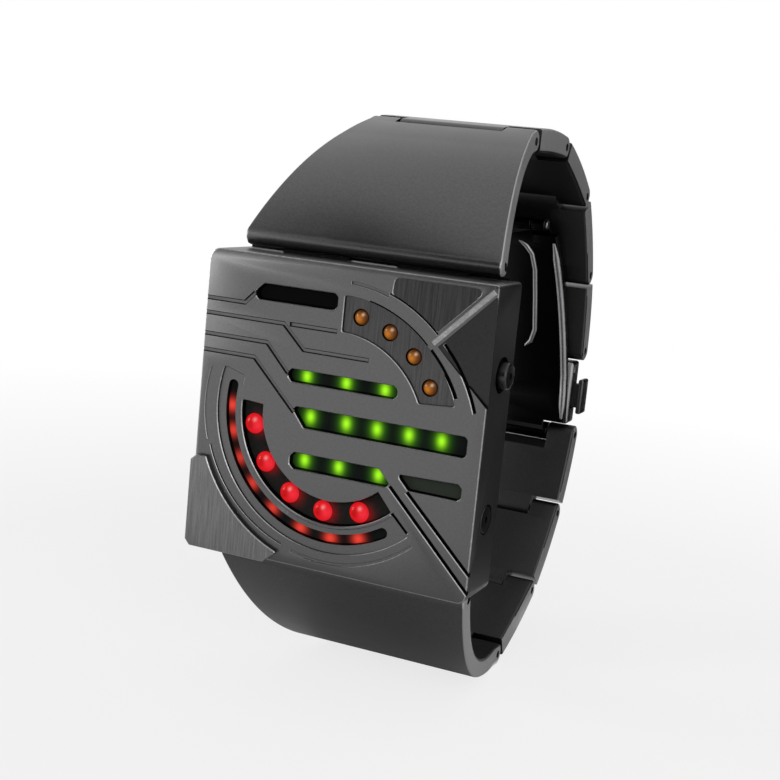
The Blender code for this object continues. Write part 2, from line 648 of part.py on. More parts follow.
def build_gasket(root, body):
    """The rubber seal in a groove round the case's open back."""
    cavity = octagon(CAVITY_HALF_X, CAVITY_HALF_Z, CAVITY_CHAMFER)
    inner = offset_outline(cavity, GASKET_START)
    outer = offset_outline(cavity, GASKET_START + GASKET_WIDTH)
    front = BODY_BACK - GASKET_SINK
    gasket = prism("case_back_gasket", outer, "XZ", front, front + GASKET_DEPTH, RUBBER)
    cut(gasket, prism("gasket_inside", inner, "XZ", front - CUT_OVERRUN, CUT_OVERRUN))
    groove = prism("gasket_groove", offset_outline(outer, FIT / 2), "XZ", front - FIT, CUT_OVERRUN)
    cut(groove, prism("groove_core", offset_outline(inner, -FIT / 2), "XZ", front - CUT_OVERRUN * 2,
                      CUT_OVERRUN * 2))
    cut(body, groove)
    seat(gasket, root)


def build_lens(root):
    """One smoked plate behind the dial. Pads on its front stand in the windows and slots."""
    outline = offset_outline(octagon(CAVITY_HALF_X, CAVITY_HALF_Z, CAVITY_CHAMFER), -MODULE_FIT)
    lens = prism("light_filter", outline, "XZ", CAVITY_FRONT + LENS_GAP, LENS_BACK, SMOKED)
    for name, slot in slot_outlines().items():
        if name != "red_inner":
            pad = prism("pad_" + name, offset_outline(slot, -LENS_FIT), "XZ", LENS_FACE, LENS_BACK - LENS_GAP)
            join(lens, pad)
    red = offset_outline(slot_outlines()["red_inner"], LENS_FIT)
    cut(lens, prism("red_way", red, "XZ", CAVITY_FRONT - CUT_OVERRUN, LENS_BACK + CUT_OVERRUN))
    for x, z in lamp_places(AMBER_LAMP_SHARE, AMBER_LAMP_ANGLES):
        cut(lens, rod("amber_way", AMBER_RADIUS + LAMP_FIT, (x, CAVITY_FRONT - CUT_OVERRUN, z),
                      (x, LENS_BACK + CUT_OVERRUN, z), sides=12))
    seat(lens, root)


def lamp(name, radius, place, base, top, sides=14):
    """A lamp body with a domed tip, pointing out of the dial."""
    bm = bmesh.new()
    turns = [math.radians(angle) for angle in (0.0, 30.0, 60.0)]
    profile = [(base, radius)]
    profile += [(top + radius / 2 * (1 - math.sin(turn)), radius * math.cos(turn)) for turn in turns]
    rings = []
    for along, size in profile:
        rings.append([bm.verts.new((place[0] + size * math.cos(math.tau * side / sides), along,
                                    place[1] + size * math.sin(math.tau * side / sides)))
                      for side in range(sides)])
    for first, second in zip(rings, rings[1:]):
        for index in range(sides):
            following = (index + 1) % sides
            bm.faces.new((first[index], first[following], second[following], second[index]))
    bm.faces.new(rings[0])
    bm.faces.new(rings[-1])
    return add_object(name, bm)


def build_lamps(root):
    """Red lamps on their dark band, amber lamps on an arc, and green chips in three rows."""
    back = BOARD_FACE - STACK_GAP
    slot = offset_outline(slot_outlines()["red_inner"], -LENS_FIT)
    red = prism("red_led_arc", slot, "XZ", FRONT + RED_SINK, back, RED_LAMP)
    for place in lamp_places(RED_LAMP_SHARE, RED_LAMP_ANGLES):
        join(red, lamp("red_lamp", RED_RADIUS, place, back - FIT, FRONT + RED_SINK - RED_RISE))
    seat(red, root)
    middle = AMBER_LAMP_SHARE * DIAL_UNIT
    strip = band(middle - CARRIER_WIDTH / 2, middle + CARRIER_WIDTH / 2,
                 (AMBER_LAMP_ANGLES[-1], AMBER_LAMP_ANGLES[0]))
    amber = prism("amber_led_arc", strip, "XZ", back - CARRIER_THICK, back, AMBER_LAMP)
    for place in lamp_places(AMBER_LAMP_SHARE, AMBER_LAMP_ANGLES):
        join(amber, lamp("amber_lamp", AMBER_RADIUS, place, back - CARRIER_THICK / 2,
                         FRONT + BAND_DEPTH - AMBER_RISE))
    seat(amber, root)
    rows = {}
    for x, z in dial_outline(GREEN_CHIP_SHARES):
        rows.setdefault(z, []).append(x)
    for name, (z, places) in zip(("top", "middle", "low"), rows.items()):
        half = CHIP_SIZE / 2
        deep = CARRIER_WIDTH / 2
        row = box("green_led_row_" + name, (min(places) - CHIP_SIZE, back - CARRIER_THICK, z - deep),
                  (max(places) + CHIP_SIZE, back, z + deep), BOARD_GREEN)
        for x in places:
            join(row, box("chip", (x - half, back - CARRIER_THICK - CHIP_HEIGHT, z - half),
                          (x + half, back - CARRIER_THICK / 2, z + half)))
        seat(row, root)
    glow = band(RED_OUTER_SHARES[0] * DIAL_UNIT, RED_OUTER_SHARES[1] * DIAL_UNIT, RED_OUTER_ANGLES)
    row = prism("red_glow_arc", glow, "XZ", back - CARRIER_THICK, back, RED_LAMP)
    seat(row, root)


def build_module(root):
    """Circuit board, cell frame, two stacked cells and the spring clip over them."""
    outline = offset_outline(octagon(CAVITY_HALF_X, CAVITY_HALF_Z, CAVITY_CHAMFER), -MODULE_FIT)
    board = prism("circuit_board", outline, "XZ", BOARD_FACE, BOARD_BACK, BOARD_GREEN)
    top = BOARD_BACK + STACK_GAP
    end = top + CELL_THICK * 2 + STACK_GAP
    frame = prism("cell_frame", outline, "XZ", top, end, BLACK_PLASTIC)
    cut(frame, rod("cell_well", CELL_RADIUS + CELL_FIT, (-CELL_SHIFT, top - CUT_OVERRUN, 0),
                   (-CELL_SHIFT, end + CUT_OVERRUN, 0), sides=40))
    for side in (1, -1):
        y, z = button_place(side)
        start = CAVITY_HALF_X - STEM_REACH - BUTTON_TRAVEL - SWITCH_DEPTH - STACK_GAP * 2
        room = SWITCH_SIZE / 2 + FIT
        cut(frame, box("switch_room", (start, top - CUT_OVERRUN, z - room),
                       (HALF_WIDTH, top + SWITCH_SIZE + FIT, z + room)))
        cut(board, box("stem_room", (start + SWITCH_DEPTH, BOARD_FACE - CUT_OVERRUN, z - room),
                       (HALF_WIDTH, BOARD_BACK + CUT_OVERRUN, z + room)))
    seat(board, root)
    seat(frame, root)
    for number in (0, 1):
        start = top + number * (CELL_THICK + STACK_GAP)
        cell = rod(f"coin_cell_{number + 1}", CELL_RADIUS, (-CELL_SHIFT, start, 0),
                   (-CELL_SHIFT, start + CELL_THICK, 0), sides=40, material=CELL_STEEL)
        seat(cell, root)
    clip = box("cell_clip", (-CELL_SHIFT - CELL_RADIUS - CLIP_WIDTH / 2, end + STACK_GAP, -CLIP_WIDTH / 2),
               (-CELL_SHIFT + CELL_RADIUS + CLIP_WIDTH / 2, end + STACK_GAP + CLIP_THICK, CLIP_WIDTH / 2),
               CELL_STEEL)
    seat(clip, root)


def loop_point(shares):
    return Vector((shares[0] * LOOP_DEPTH, shares[1] * LOOP_RISE))


def outward(direction, place):
    """The normal of a direction in the loop's plane that points away from the loop's middle."""
    normal = Vector((-direction.y, direction.x))
    middle = Vector((LOOP_DEPTH / 2, 0))
    return normal if normal.dot(place - middle) > 0 else -normal


def loft(name, stations, material=None, edge=0.0):
    """A solid through stations, each (middle, normal, outer half, inner half, half width)."""
    bm = bmesh.new()
    rings = []
    for middle, normal, outer, inner, half_width in stations:
        high = middle + normal * outer
        low = middle - normal * inner
        rings.append([bm.verts.new((x, point.x, point.y)) for x, point in
                      ((half_width, high), (-half_width, high), (-half_width, low), (half_width, low))])
    for first, second in zip(rings, rings[1:]):
        for index in range(4):
            following = (index + 1) % 4
            bm.faces.new((first[index], first[following], second[following], second[index]))
    bm.faces.new(rings[0])
    bm.faces.new(rings[-1])
    obj = add_object(name, bm, material)
    if edge > 0:
        bevel = obj.modifiers.new("edge", "BEVEL")
        bevel.width = edge
        bevel.segments = 1
        bevel.limit_method = "ANGLE"
        bevel.angle_limit = math.radians(60)
    return obj


def end_cap(place, ahead, normal, radius, half_width):
    """Stations of a rounded end, from its tip back to its centre."""
    cap = []
    for step in range(CAP_STEPS):
        turn = math.radians(CAP_DEGREES * (CAP_STEPS - step) / CAP_STEPS)
        cap.append((place + ahead * radius * math.sin(turn), normal, radius * math.cos(turn),
                    radius * math.cos(turn), half_width))
    return cap


def block(name, place, ahead, normal, along, across, half_width, side=0):
    """A cutter in a link's own frame: along it, across it, and over a width or on one side of it."""
    corners = [place + ahead * a + normal * b for a, b in
               ((along[0], across[0]), (along[1], across[0]), (along[1], across[1]), (along[0], across[1]))]
    outline = [(corner.x, corner.y) for corner in corners]
    if side == 0:
        return prism(name, outline, "YZ", -half_width, half_width)
    low, high = sorted((side * half_width, side * STRAP_WIDE))
    return prism(name, outline, "YZ", low, high)


def cut_tongue(obj, pin, ahead, normal, width=TONGUE_WIDTH, knuckle=LINK_HALF):
    """Leaves only the middle tongue at a link's start. Ahead points into the link."""
    shoulder = knuckle + HINGE_GAP
    reach = STRAP_NARROW / 2
    for side in (1, -1):
        cut(obj, block("tongue_side", pin, ahead, normal, (-reach, shoulder), (-reach, reach), width / 2,
                       side))


def cut_ears(obj, pin, ahead, normal, width=TONGUE_WIDTH, knuckle=LINK_HALF):
    """Leaves only the two ears at a link's end. Ahead points out of the link."""
    reach = STRAP_NARROW / 2
    floor = -(knuckle + HINGE_GAP)
    cut(obj, block("ear_gap", pin, ahead, normal, (floor, reach), (-reach, reach), width / 2 + TONGUE_FIT))


def cut_bore(obj, pin):
    cut(obj, rod("pin_bore", BORE_RADIUS, (-STRAP_WIDE, pin.x, pin.y), (STRAP_WIDE, pin.x, pin.y), sides=12))


def hinge_pin(name, pin, half_length, empty, radius=PIN_RADIUS):
    obj = rod(name, radius, (-half_length, pin.x, pin.y), (half_length, pin.x, pin.y), sides=12,
              material=PIN_STEEL)
    seat(obj, empty)


def build_link(name, start, end, empty):
    """One strap link: a tongue at its start and two ears at its end, with a crowned outside."""
    ahead = (end - start).normalized()
    normal = outward(ahead, (start + end) / 2)
    half = STRAP_NARROW / 2
    stations = end_cap(start, -ahead, normal, LINK_HALF, half)
    for step in range(LINK_STEPS + 1):
        share = step / LINK_STEPS
        swell = 4 * share * (1 - share)
        stations.append((start.lerp(end, share), normal, LINK_HALF + LINK_CROWN * swell,
                         LINK_HALF - LINK_HOLLOW * swell, half))
    stations += end_cap(end, ahead, normal, LINK_HALF, half)[::-1]
    link = loft(name, stations, STRAP_STEEL, LINK_EDGE)
    cut_tongue(link, start, ahead, normal)
    cut_ears(link, end, ahead, normal)
    cut_bore(link, start)
    cut_bore(link, end)
    seat(link, empty)
    return link, ahead, normal


def build_shell(name, side, end, bow, empty):
    """The wide curved piece beside the case. It hides the case's lugs in pockets on its inside."""
    pin = Vector((lug_pin(side).y, lug_pin(side).z))
    start = pin + Vector((-SHELL_END_FRONT, side * SHELL_END_RISE))
    chord = end - start
    across = outward(chord.normalized(), (start + end) / 2)
    places = []
    for step in range(SHELL_STEPS + 1):
        share = step / SHELL_STEPS
        places.append(start.lerp(end, share) + across * bow * 4 * share * (1 - share))
    stations = []
    for step, place in enumerate(places):
        share = step / SHELL_STEPS
        before = places[max(0, step - 1)]
        after = places[min(SHELL_STEPS, step + 1)]
        ahead = (after - before).normalized()
        normal = outward(ahead, place)
        fade_start = max(0.0, 1 - share * 4)
        fade_end = max(0.0, 1 - (1 - share) * 4)
        half = SHELL_HALF + (SHELL_END_RADIUS - SHELL_HALF) * fade_start + (LINK_HALF - SHELL_HALF) * fade_end
        wide = STRAP_WIDE + (STRAP_NARROW - STRAP_WIDE) * min(1.0, share / (1 - 1 / SHELL_STEPS))
        if step == 0:
            stations += end_cap(place, -ahead, normal, half, wide / 2)
        stations.append((place, normal, half, half, wide / 2))
    stations += end_cap(end, ahead, normal, LINK_HALF, STRAP_NARROW / 2)[::-1]
    shell = loft(name, stations, STRAP_STEEL)
    cut_ears(shell, end, ahead, normal)
    cut_bore(shell, end)
    cut_bore(shell, pin)
    for hand in (1, -1):
        low = hand * LUG_OFFSET - LUG_WIDTH / 2 - LUG_FIT
        high = hand * LUG_OFFSET + LUG_WIDTH / 2 + LUG_FIT
        cut(shell, rod("lug_room", LUG_RADIUS + LUG_FIT, (low, pin.x, pin.y), (high, pin.x, pin.y),
                       sides=24))
        foot = side * (HALF_HEIGHT - CUT_OVERRUN)
        front = pin.x - LUG_NECK_FRONT - LUG_FIT - LUG_SWING
        cut(shell, box("neck_room", (low + FIT / 2, front, min(foot, pin.y)),
                       (high - FIT / 2, pin.x + LUG_RADIUS + LUG_FIT - NECK_STEP, max(foot, pin.y))))
    seat(shell, empty)


def clasp_path(offset):
    """Stations' places on the folded clasp's curve, at a distance inside the strap's middle line."""
    second, third, fourth = (loop_point(shares) for shares in UPPER_PIN_SHARES[1:])
    latch = loop_point(LATCH_END_SHARES)
    upper = (fourth - third).normalized()
    lower = (latch - fourth).normalized()
    blade_offset = LINK_HALF + CLASP_SPLIT + CLASP_PLATE / 2
    pivot = loop_point(TOP_PIVOT_SHARES)
    along = (pivot - third).dot(upper) + TOP_KNUCKLE * 2
    start = third + upper * along - outward(upper, third) * blade_offset
    corner = fourth - (outward(upper, third) + outward(lower, fourth)).normalized() * blade_offset
    end = latch - outward(lower, latch) * blade_offset
    path = []
    for step in range(CLASP_STEPS + 1):
        share = step / CLASP_STEPS
        place = start * (1 - share) ** 2 + corner * 2 * share * (1 - share) + end * share ** 2
        ahead = ((corner - start) * (1 - share) + (end - corner) * share).normalized()
        normal = outward(ahead, place)
        path.append((place - normal * offset, normal))
    return path


def latch_pin():
    return loop_point(LATCH_END_SHARES) + Vector((-LATCH_PIN_INSET, -LATCH_PIN_DROP))


def build_blade(empty):
    """The folding blade between the links and the base plate, with a knuckle at each end."""
    pivot = loop_point(TOP_PIVOT_SHARES)
    pin = latch_pin()
    half = CLASP_PLATE / 2
    path = clasp_path(0.0)
    ahead = (path[0][0] - pivot).normalized()
    turned = outward(ahead, pivot)
    places = [(pivot, turned)] + path
    low, normal = path[-1]
    places += [((low + pin) / 2 - normal * half, normal), (pin - normal * half / 2, normal)]
    wide = BLADE_WIDTH / 2
    blade = loft("fold_blade", [(place, normal, half, half, wide) for place, normal in places], POLISHED)
    join(blade, rod("blade_top", TOP_KNUCKLE, (-wide, *pivot), (wide, *pivot), sides=20))
    join(blade, rod("blade_end", LATCH_KNUCKLE, (-wide, *pin), (wide, *pin), sides=20))
    down = (path[2][0] - path[0][0]).normalized()
    gap = TOP_TONGUE_WIDTH / 2 + TONGUE_FIT
    reach = TOP_KNUCKLE * 2 + HINGE_GAP
    cut(blade, block("blade_gap", pivot, down, outward(down, pivot), (-reach, reach), (-reach, reach), gap))
    cut_bore(blade, pivot)
    cut_bore(blade, pin)
    seat(blade, empty)


def build_base(empty):
    """The long inner plate of the clasp, tapered, with a knuckle at its top and one at its low end."""
    pivot = loop_point(TOP_PIVOT_SHARES)
    end = loop_point(BASE_END_SHARES)
    half = CLASP_PLATE / 2
    path = clasp_path(CLASP_PLATE + CLASP_SPLIT)
    inside = LATCH_INNER - BASE_INSET
    back = Vector((1.0, 0.0))
    run = [(Vector((inside, -BASE_LOW * share)), back) for share in (0.0, 0.5, 1.0)]
    places = path + run
    stations = []
    for index, (place, normal) in enumerate(places):
        share = index / (len(places) - 1)
        wide = CLASP_TOP_WIDTH + (CLASP_LOW_WIDTH - CLASP_TOP_WIDTH) * share
        stations.append((place, normal, half, half, wide / 2))
    base = loft("clasp_base_plate", stations, POLISHED)
    down = (path[1][0] - pivot).normalized()
    wide = TOP_TONGUE_WIDTH / 2
    tongue = [(pivot, outward(down, pivot), half, half, wide), (*path[1], half, half, wide)]
    join(base, loft("base_tongue", tongue))
    join(base, rod("base_top", TOP_KNUCKLE, (-wide, *pivot), (wide, *pivot), sides=20))
    wide = BASE_NECK_WIDTH / 2
    drop = Vector((inside, -BASE_NECK_LOW))
    turned = outward((end - drop).normalized(), end)
    neck = [(Vector((inside, -BASE_LOW / 2)), back, half, half, wide),
            (drop, (back + turned).normalized(), half, half, wide),
            (drop.lerp(end, BASE_NECK_SHARE), turned, half, half, wide)]
    join(base, loft("base_neck", neck))
    join(base, rod("base_end", BASE_KNUCKLE, (-TONGUE_WIDTH / 2, *end), (TONGUE_WIDTH / 2, *end), sides=24))
    join(base, box("stud", (-STUD_HALF, inside, -RELEASE_CENTRE - STUD_LENGTH / 2),
                   (STUD_HALF, inside + half + STUD_RISE, -RELEASE_CENTRE + STUD_LENGTH / 2)))
    cut_bore(base, pivot)
    cut_bore(base, end)
    seat(base, empty)


def build_latch(empty):
    """The clasp's outer block, hollow on its inside, with a tongue towards the last link."""
    pin = loop_point(LATCH_END_SHARES)
    hinge = latch_pin()
    half = LATCH_WIDTH / 2
    top = pin.y - LINK_HALF - HINGE_GAP
    latch = box("latch_body", (-half, LATCH_INNER, -LATCH_LOW), (half, LATCH_OUTER, top), STRAP_STEEL)
    bevel = latch.modifiers.new("edge", "BEVEL")
    bevel.width = LINK_EDGE
    bevel.segments = 1
    tongue = TONGUE_WIDTH / 2
    cover = LATCH_OUTER - LATCH_COVER
    join(latch, rod("latch_tongue", LINK_HALF, (-tongue, *pin), (tongue, *pin), sides=24))
    join(latch, box("latch_bridge", (-tongue, cover, top - CUT_OVERRUN),
                    (tongue, pin.x + LINK_HALF - BRIDGE_STEP, pin.y)))
    room = BLADE_WIDTH / 2 + TONGUE_FIT
    cut(latch, box("latch_room", (-room, LATCH_INNER - CUT_OVERRUN, LATCH_END_WALL - LATCH_LOW),
                   (room, cover, pin.y - LINK_HALF - FIT)))
    centre = (LATCH_INNER + LATCH_OUTER) / 2
    stem = RELEASE_STEM_LENGTH / 2 + FIT
    depth = RELEASE_STEM_DEPTH / 2 + FIT
    cut(latch, box("release_way", (-STRAP_WIDE, centre - depth, -RELEASE_CENTRE - stem),
                   (STRAP_WIDE, centre + depth, -RELEASE_CENTRE + stem)))
    cut_bore(latch, pin)
    cut_bore(latch, hinge)
    seat(latch, empty)


def build_releases(parent):
    """The two spring-loaded pushers on the clasp's sides."""
    centre = (LATCH_INNER + LATCH_OUTER) / 2
    for side, name in ((1, "right_release"), (-1, "left_release")):
        foot = LATCH_WIDTH / 2 + RELEASE_GAP
        empty = joint_empty(name + "_axis", (side * foot, centre, -RELEASE_CENTRE), parent)
        low, high = sorted((side * foot, side * RELEASE_OUT))
        head = box(name, (low, centre - RELEASE_DEPTH / 2, -RELEASE_CENTRE - RELEASE_LENGTH / 2),
                   (high, centre + RELEASE_DEPTH / 2, -RELEASE_CENTRE + RELEASE_LENGTH / 2), STRAP_STEEL)
        bevel = head.modifiers.new("edge", "BEVEL")
        bevel.width = LINK_EDGE
        bevel.segments = 1
        tip = STUD_HALF + RELEASE_TRAVEL + TONGUE_FIT
        low, high = sorted((side * tip, side * (foot + FIT)))
        deep = RELEASE_STEM_DEPTH / 2
        tall = RELEASE_STEM_LENGTH / 2
        join(head, box("release_stem", (low, centre - deep, -RELEASE_CENTRE - tall),
                       (high, centre + deep, -RELEASE_CENTRE + tall)))
        seat(head, empty)


def place_of(point):
    return (0.0, point.x, point.y)


def build_bracelet(root):
    """Both halves of the bracelet, from the case's lugs to the clasp."""
    pins = [loop_point(shares) for shares in UPPER_PIN_SHARES] + [loop_point(LATCH_END_SHARES)]
    lug = Vector((lug_pin(1).y, lug_pin(1).z))
    narrow = STRAP_NARROW / 2 - PIN_INSET
    lug_half = STRAP_WIDE / 2 - PIN_INSET * 2
    hinge_pin("upper_lug_pin", lug, lug_half, root)
    parent = joint_empty("upper_shell_axis", place_of(lug), root)
    build_shell("upper_shell", 1, pins[0], UPPER_SHELL_BOW, parent)
    for letter, start, end in zip("abcd", pins, pins[1:]):
        hinge_pin("pin_" + letter, start, narrow, parent)
        parent = joint_empty(f"link_{letter}_axis", place_of(start), parent)
        build_link("link_" + letter, start, end, parent)
    hinge_pin("pin_latch", pins[-1], narrow, parent)
    latch = joint_empty("latch_axis", place_of(pins[-1]), parent)
    build_latch(latch)
    build_releases(latch)
    hinge_pin("pin_blade", latch_pin(), LATCH_WIDTH / 2 - PIN_INSET, latch)
    blade = joint_empty("blade_axis", place_of(latch_pin()), latch)
    build_blade(blade)
    pivot = loop_point(TOP_PIVOT_SHARES)
    hinge_pin("pin_fold", pivot, BLADE_WIDTH / 2 - PIN_INSET, blade)
    base = joint_empty("base_axis", place_of(pivot), blade)
    build_base(base)
    hinge_pin("clasp_spring_bar", loop_point(BASE_END_SHARES), TONGUE_WIDTH / 2 - PIN_INSET, base)

    pins = [loop_point(shares) for shares in LOWER_PIN_SHARES] + [loop_point(BASE_END_SHARES)]
    lug = Vector((lug_pin(-1).y, lug_pin(-1).z))
    hinge_pin("lower_lug_pin", lug, lug_half, root)
    parent = joint_empty("lower_shell_axis", place_of(lug), root)
    build_shell("lower_shell", -1, pins[0], LOWER_SHELL_BOW, parent)
    for letter, start, end in zip("gfe", pins, pins[1:]):
        hinge_pin("pin_" + letter, start, narrow, parent)
        parent = joint_empty(f"link_{letter}_axis", place_of(start), parent)
        link, ahead, normal = build_link("link_" + letter, start, end, parent)
        if letter == "e":
            floor = -(LINK_HALF + HINGE_GAP)
            depth = LINK_THICK
            corners = [(floor + HINGE_GAP, depth), (floor - OPEN_SLOT_FALL, -depth), (depth, -depth),
                       (depth, depth)]
            outline = [tuple(end + ahead * a + normal * b) for a, b in corners]
            half = TONGUE_WIDTH / 2 + TONGUE_FIT
            cut(link, prism("open_slot", outline, "YZ", -half, half))


def main():
    root = joint_empty("watch_root", (0, 0, 0))
    body = build_case_body(root)
    build_gasket(root, body)
    build_buttons(root)
    build_case_back(root)
    build_lens(root)
    build_lamps(root)
    build_module(root)
    build_bracelet(root)


main()
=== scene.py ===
"""The dressed look of the square LED wristwatch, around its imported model."""

import math
from functools import partialmethod

import bmesh
import bpy
from mathutils import Matrix, Vector


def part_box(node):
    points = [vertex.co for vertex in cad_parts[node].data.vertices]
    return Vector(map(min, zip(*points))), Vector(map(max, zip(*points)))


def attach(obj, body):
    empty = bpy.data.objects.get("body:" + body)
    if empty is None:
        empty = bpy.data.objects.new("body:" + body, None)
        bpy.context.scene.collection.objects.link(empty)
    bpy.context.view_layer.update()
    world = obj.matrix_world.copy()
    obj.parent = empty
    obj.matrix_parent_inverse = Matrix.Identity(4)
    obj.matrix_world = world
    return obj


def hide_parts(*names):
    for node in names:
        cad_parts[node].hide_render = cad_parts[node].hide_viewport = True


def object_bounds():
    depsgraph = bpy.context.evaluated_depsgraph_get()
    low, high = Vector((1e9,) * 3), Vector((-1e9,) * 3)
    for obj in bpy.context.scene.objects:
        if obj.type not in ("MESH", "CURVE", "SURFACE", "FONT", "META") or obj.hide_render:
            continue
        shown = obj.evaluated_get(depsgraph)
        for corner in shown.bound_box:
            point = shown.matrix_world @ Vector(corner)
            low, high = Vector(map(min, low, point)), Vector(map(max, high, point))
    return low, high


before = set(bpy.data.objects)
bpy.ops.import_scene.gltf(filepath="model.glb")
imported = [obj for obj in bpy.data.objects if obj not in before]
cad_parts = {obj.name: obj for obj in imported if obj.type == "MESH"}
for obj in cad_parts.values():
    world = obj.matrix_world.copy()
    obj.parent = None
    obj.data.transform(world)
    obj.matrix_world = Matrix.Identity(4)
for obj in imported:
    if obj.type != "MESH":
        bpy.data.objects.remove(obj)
cad_low, cad_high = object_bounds()

# The studio: a pale floor under the bracelet, a white surround, a lamp low on the left and a broader,
# weaker one in front on the right. Cards out of the camera's sight, most of them dark, stand behind, in
# front, above and on the floor, so that the steel mirrors dark edges and sides and a paler left.
FLOOR_WIDE = 6.0
FLOOR_LEVEL = cad_low[2] - 0.0001
FLOOR_COLOUR = (0.80, 0.80, 0.80)
GLOW_MIDDLE = 25.0
GLOW_START = 90.0
GLOW_REACH = 160.0
GLOW_NEAR = 0.76
CARD_LEVEL = FLOOR_LEVEL + 0.0008
WHITE = (1.0, 1.0, 1.0)
LENS_LENGTH = 64.615
CAMERA_PLACE = (0.07443, -0.16736, 0.03457)
CAMERA_RIGHT = (0.9085502, 0.4064233, 0.0967297)
CAMERA_UP = (-0.1563252, 0.1160124, 0.9808688)
CAMERA_BACK = (0.3874261, -0.9062898, 0.1689373)

scene = bpy.context.scene
scene.view_settings.view_transform = "Standard"


def grey(tone, share=1.0, blue=0.0):
    return (tone * share, tone * share, tone * (share + blue))


def squares(first, second):
    return first * first + second * second


class Socket:
    """A value in a node tree that Python's operators combine."""

    def __init__(self, graph, socket):
        self.graph = graph
        self.socket = socket

    def combined(self, operation, other):
        return self.graph.node("ShaderNodeMath", {"operation": operation}, self, other)

    def clamped(self):
        return self.combined("MAXIMUM", 0.0).combined("MINIMUM", 1.0)


for method, operation in (("add", "ADD"), ("radd", "ADD"), ("sub", "SUBTRACT"), ("mul", "MULTIPLY"),
                          ("rmul", "MULTIPLY"), ("pow", "POWER"), ("lt", "LESS_THAN"),
                          ("gt", "GREATER_THAN")):
    combine = partialmethod(Socket.combined, operation)
    setattr(Socket, f"__{method}__", combine)


class Graph:
    """The node tree of a material or of the surround."""

    def __init__(self, name, store=bpy.data.materials):
        self.owner = store.new(name)
        self.owner.use_nodes = True
        self.tree = self.owner.node_tree

    def feed(self, target, value):
        if isinstance(value, Socket):
            self.tree.links.new(value.socket, target)
        elif target.type == "RGBA":
            target.default_value = (*value, 1.0)
        else:
            target.default_value = value

    def node(self, kind, settings=None, *values, out=0, **named):
        made = self.tree.nodes.new(kind)
        for key, value in (settings or {}).items():
            setattr(made, key, value)
        for index, value in enumerate(values):
            self.feed(made.inputs[index], value)
        for key, value in named.items():
            self.feed(made.inputs[key.replace("_", " ")], value)
        return Socket(self, made.outputs[out])

    def rays(self):
        """Whether a ray comes from the camera, from a mirror or through a glass."""
        path = self.tree.nodes.new("ShaderNodeLightPath")
        return [Socket(self, path.outputs[f"Is {kind} Ray"]) for kind in ("Camera", "Glossy", "Transmission")]

    def finish(self, **sockets):
        for key, value in sockets.items():
            self.feed(self.tree.nodes["Principled BSDF"].inputs[key.replace("_", " ")], value)
        return self.owner


class Finish(Graph):
    """A material that varies with the place on its piece, in Object coordinates in millimetres."""

    def __init__(self, name):
        super().__init__(name)
        coordinates = self.node("ShaderNodeTexCoord", out=3)
        self.place = self.node("ShaderNodeVectorMath", {"operation": "SCALE"}, coordinates, Scale=1000.0)
        split = self.tree.nodes.new("ShaderNodeSeparateXYZ")
        self.feed(split.inputs[0], self.place)
        self.x, self.y, self.z = [Socket(self, socket) for socket in split.outputs]

    def noise(self, stretch, detail=3.0, roughness=0.5):
        """Noise whose grain is finer by a multiplier, or by one for each axis."""
        stretch = stretch if isinstance(stretch, tuple) else (stretch, stretch, stretch)
        stretched = self.node("ShaderNodeVectorMath", {"operation": "MULTIPLY"}, self.place, stretch)
        return self.node("ShaderNodeTexNoise", {"noise_dimensions": "3D"}, stretched, Scale=1.0,
                         Detail=detail, Roughness=roughness)

    def ramp(self, value, start, end, top=1.0):
        """A grey that rises from black at the start to the top tone at the end."""
        made = self.tree.nodes.new("ShaderNodeValToRGB")
        for element, position, tone in zip(made.color_ramp.elements, (start, end), (0.0, top)):
            element.position = position
            element.color = (*grey(tone), 1.0)
        self.feed(made.inputs[0], value)
        return Socket(self, made.outputs[0])

    def mix(self, factor, first, second, blend="MIX"):
        made = self.tree.nodes.new("ShaderNodeMix")
        made.data_type = "RGBA"
        made.blend_type = blend
        for key, value in (("Factor", factor), (6, first), (7, second)):
            self.feed(made.inputs[key], value)
        return Socket(self, made.outputs[2])

    def bump(self, height, strength, distance):
        return self.node("ShaderNodeBump", Strength=strength, Distance=distance, Height=height)


def studio_sheet(name, graph, width, height, matrix):
    bm = bmesh.new()
    bmesh.ops.create_grid(bm, x_segments=1, y_segments=1, size=0.5)
    bmesh.ops.scale(bm, vec=(width, height, 1.0), verts=bm.verts)
    bmesh.ops.transform(bm, matrix=matrix, verts=bm.verts)
    mesh = bpy.data.meshes.new(name)
    bm.to_mesh(mesh)
    bm.free()
    mesh.materials.append(graph.owner)
    sheet = bpy.data.objects.new(name, mesh)
    scene.collection.objects.link(sheet)
    return sheet


def studio_floor():
    graph = Finish("floor_white")
    seen, glossy, through = graph.rays()
    glow = graph.node("ShaderNodeEmission", None, WHITE, 1.0)
    paint = graph.node("ShaderNodeBsdfDiffuse", None, FLOOR_COLOUR, 1.0)
    distance = squares(graph.x, graph.y - GLOW_MIDDLE) ** 0.5
    far = ((distance - GLOW_START) * (1 / GLOW_REACH)).clamped()
    share = GLOW_NEAR + (1 - GLOW_NEAR) * far
    mixed = graph.node("ShaderNodeMixShader", None, (seen * share + glossy + through).clamped(), paint, glow)
    graph.feed(graph.tree.nodes["Material Output"].inputs["Surface"], mixed)
    studio_sheet("floor", graph, FLOOR_WIDE, FLOOR_WIDE, Matrix.Translation((0.0, 0.0, FLOOR_LEVEL)))


def studio_world():
    graph = Graph("surround", bpy.data.worlds)
    scene.world = graph.owner
    seen, glossy, through = graph.rays()
    background = graph.tree.nodes["Background"]
    graph.feed(background.inputs["Color"], WHITE)
    graph.feed(background.inputs["Strength"], 0.5 + 0.5 * (seen + glossy + through).clamped())


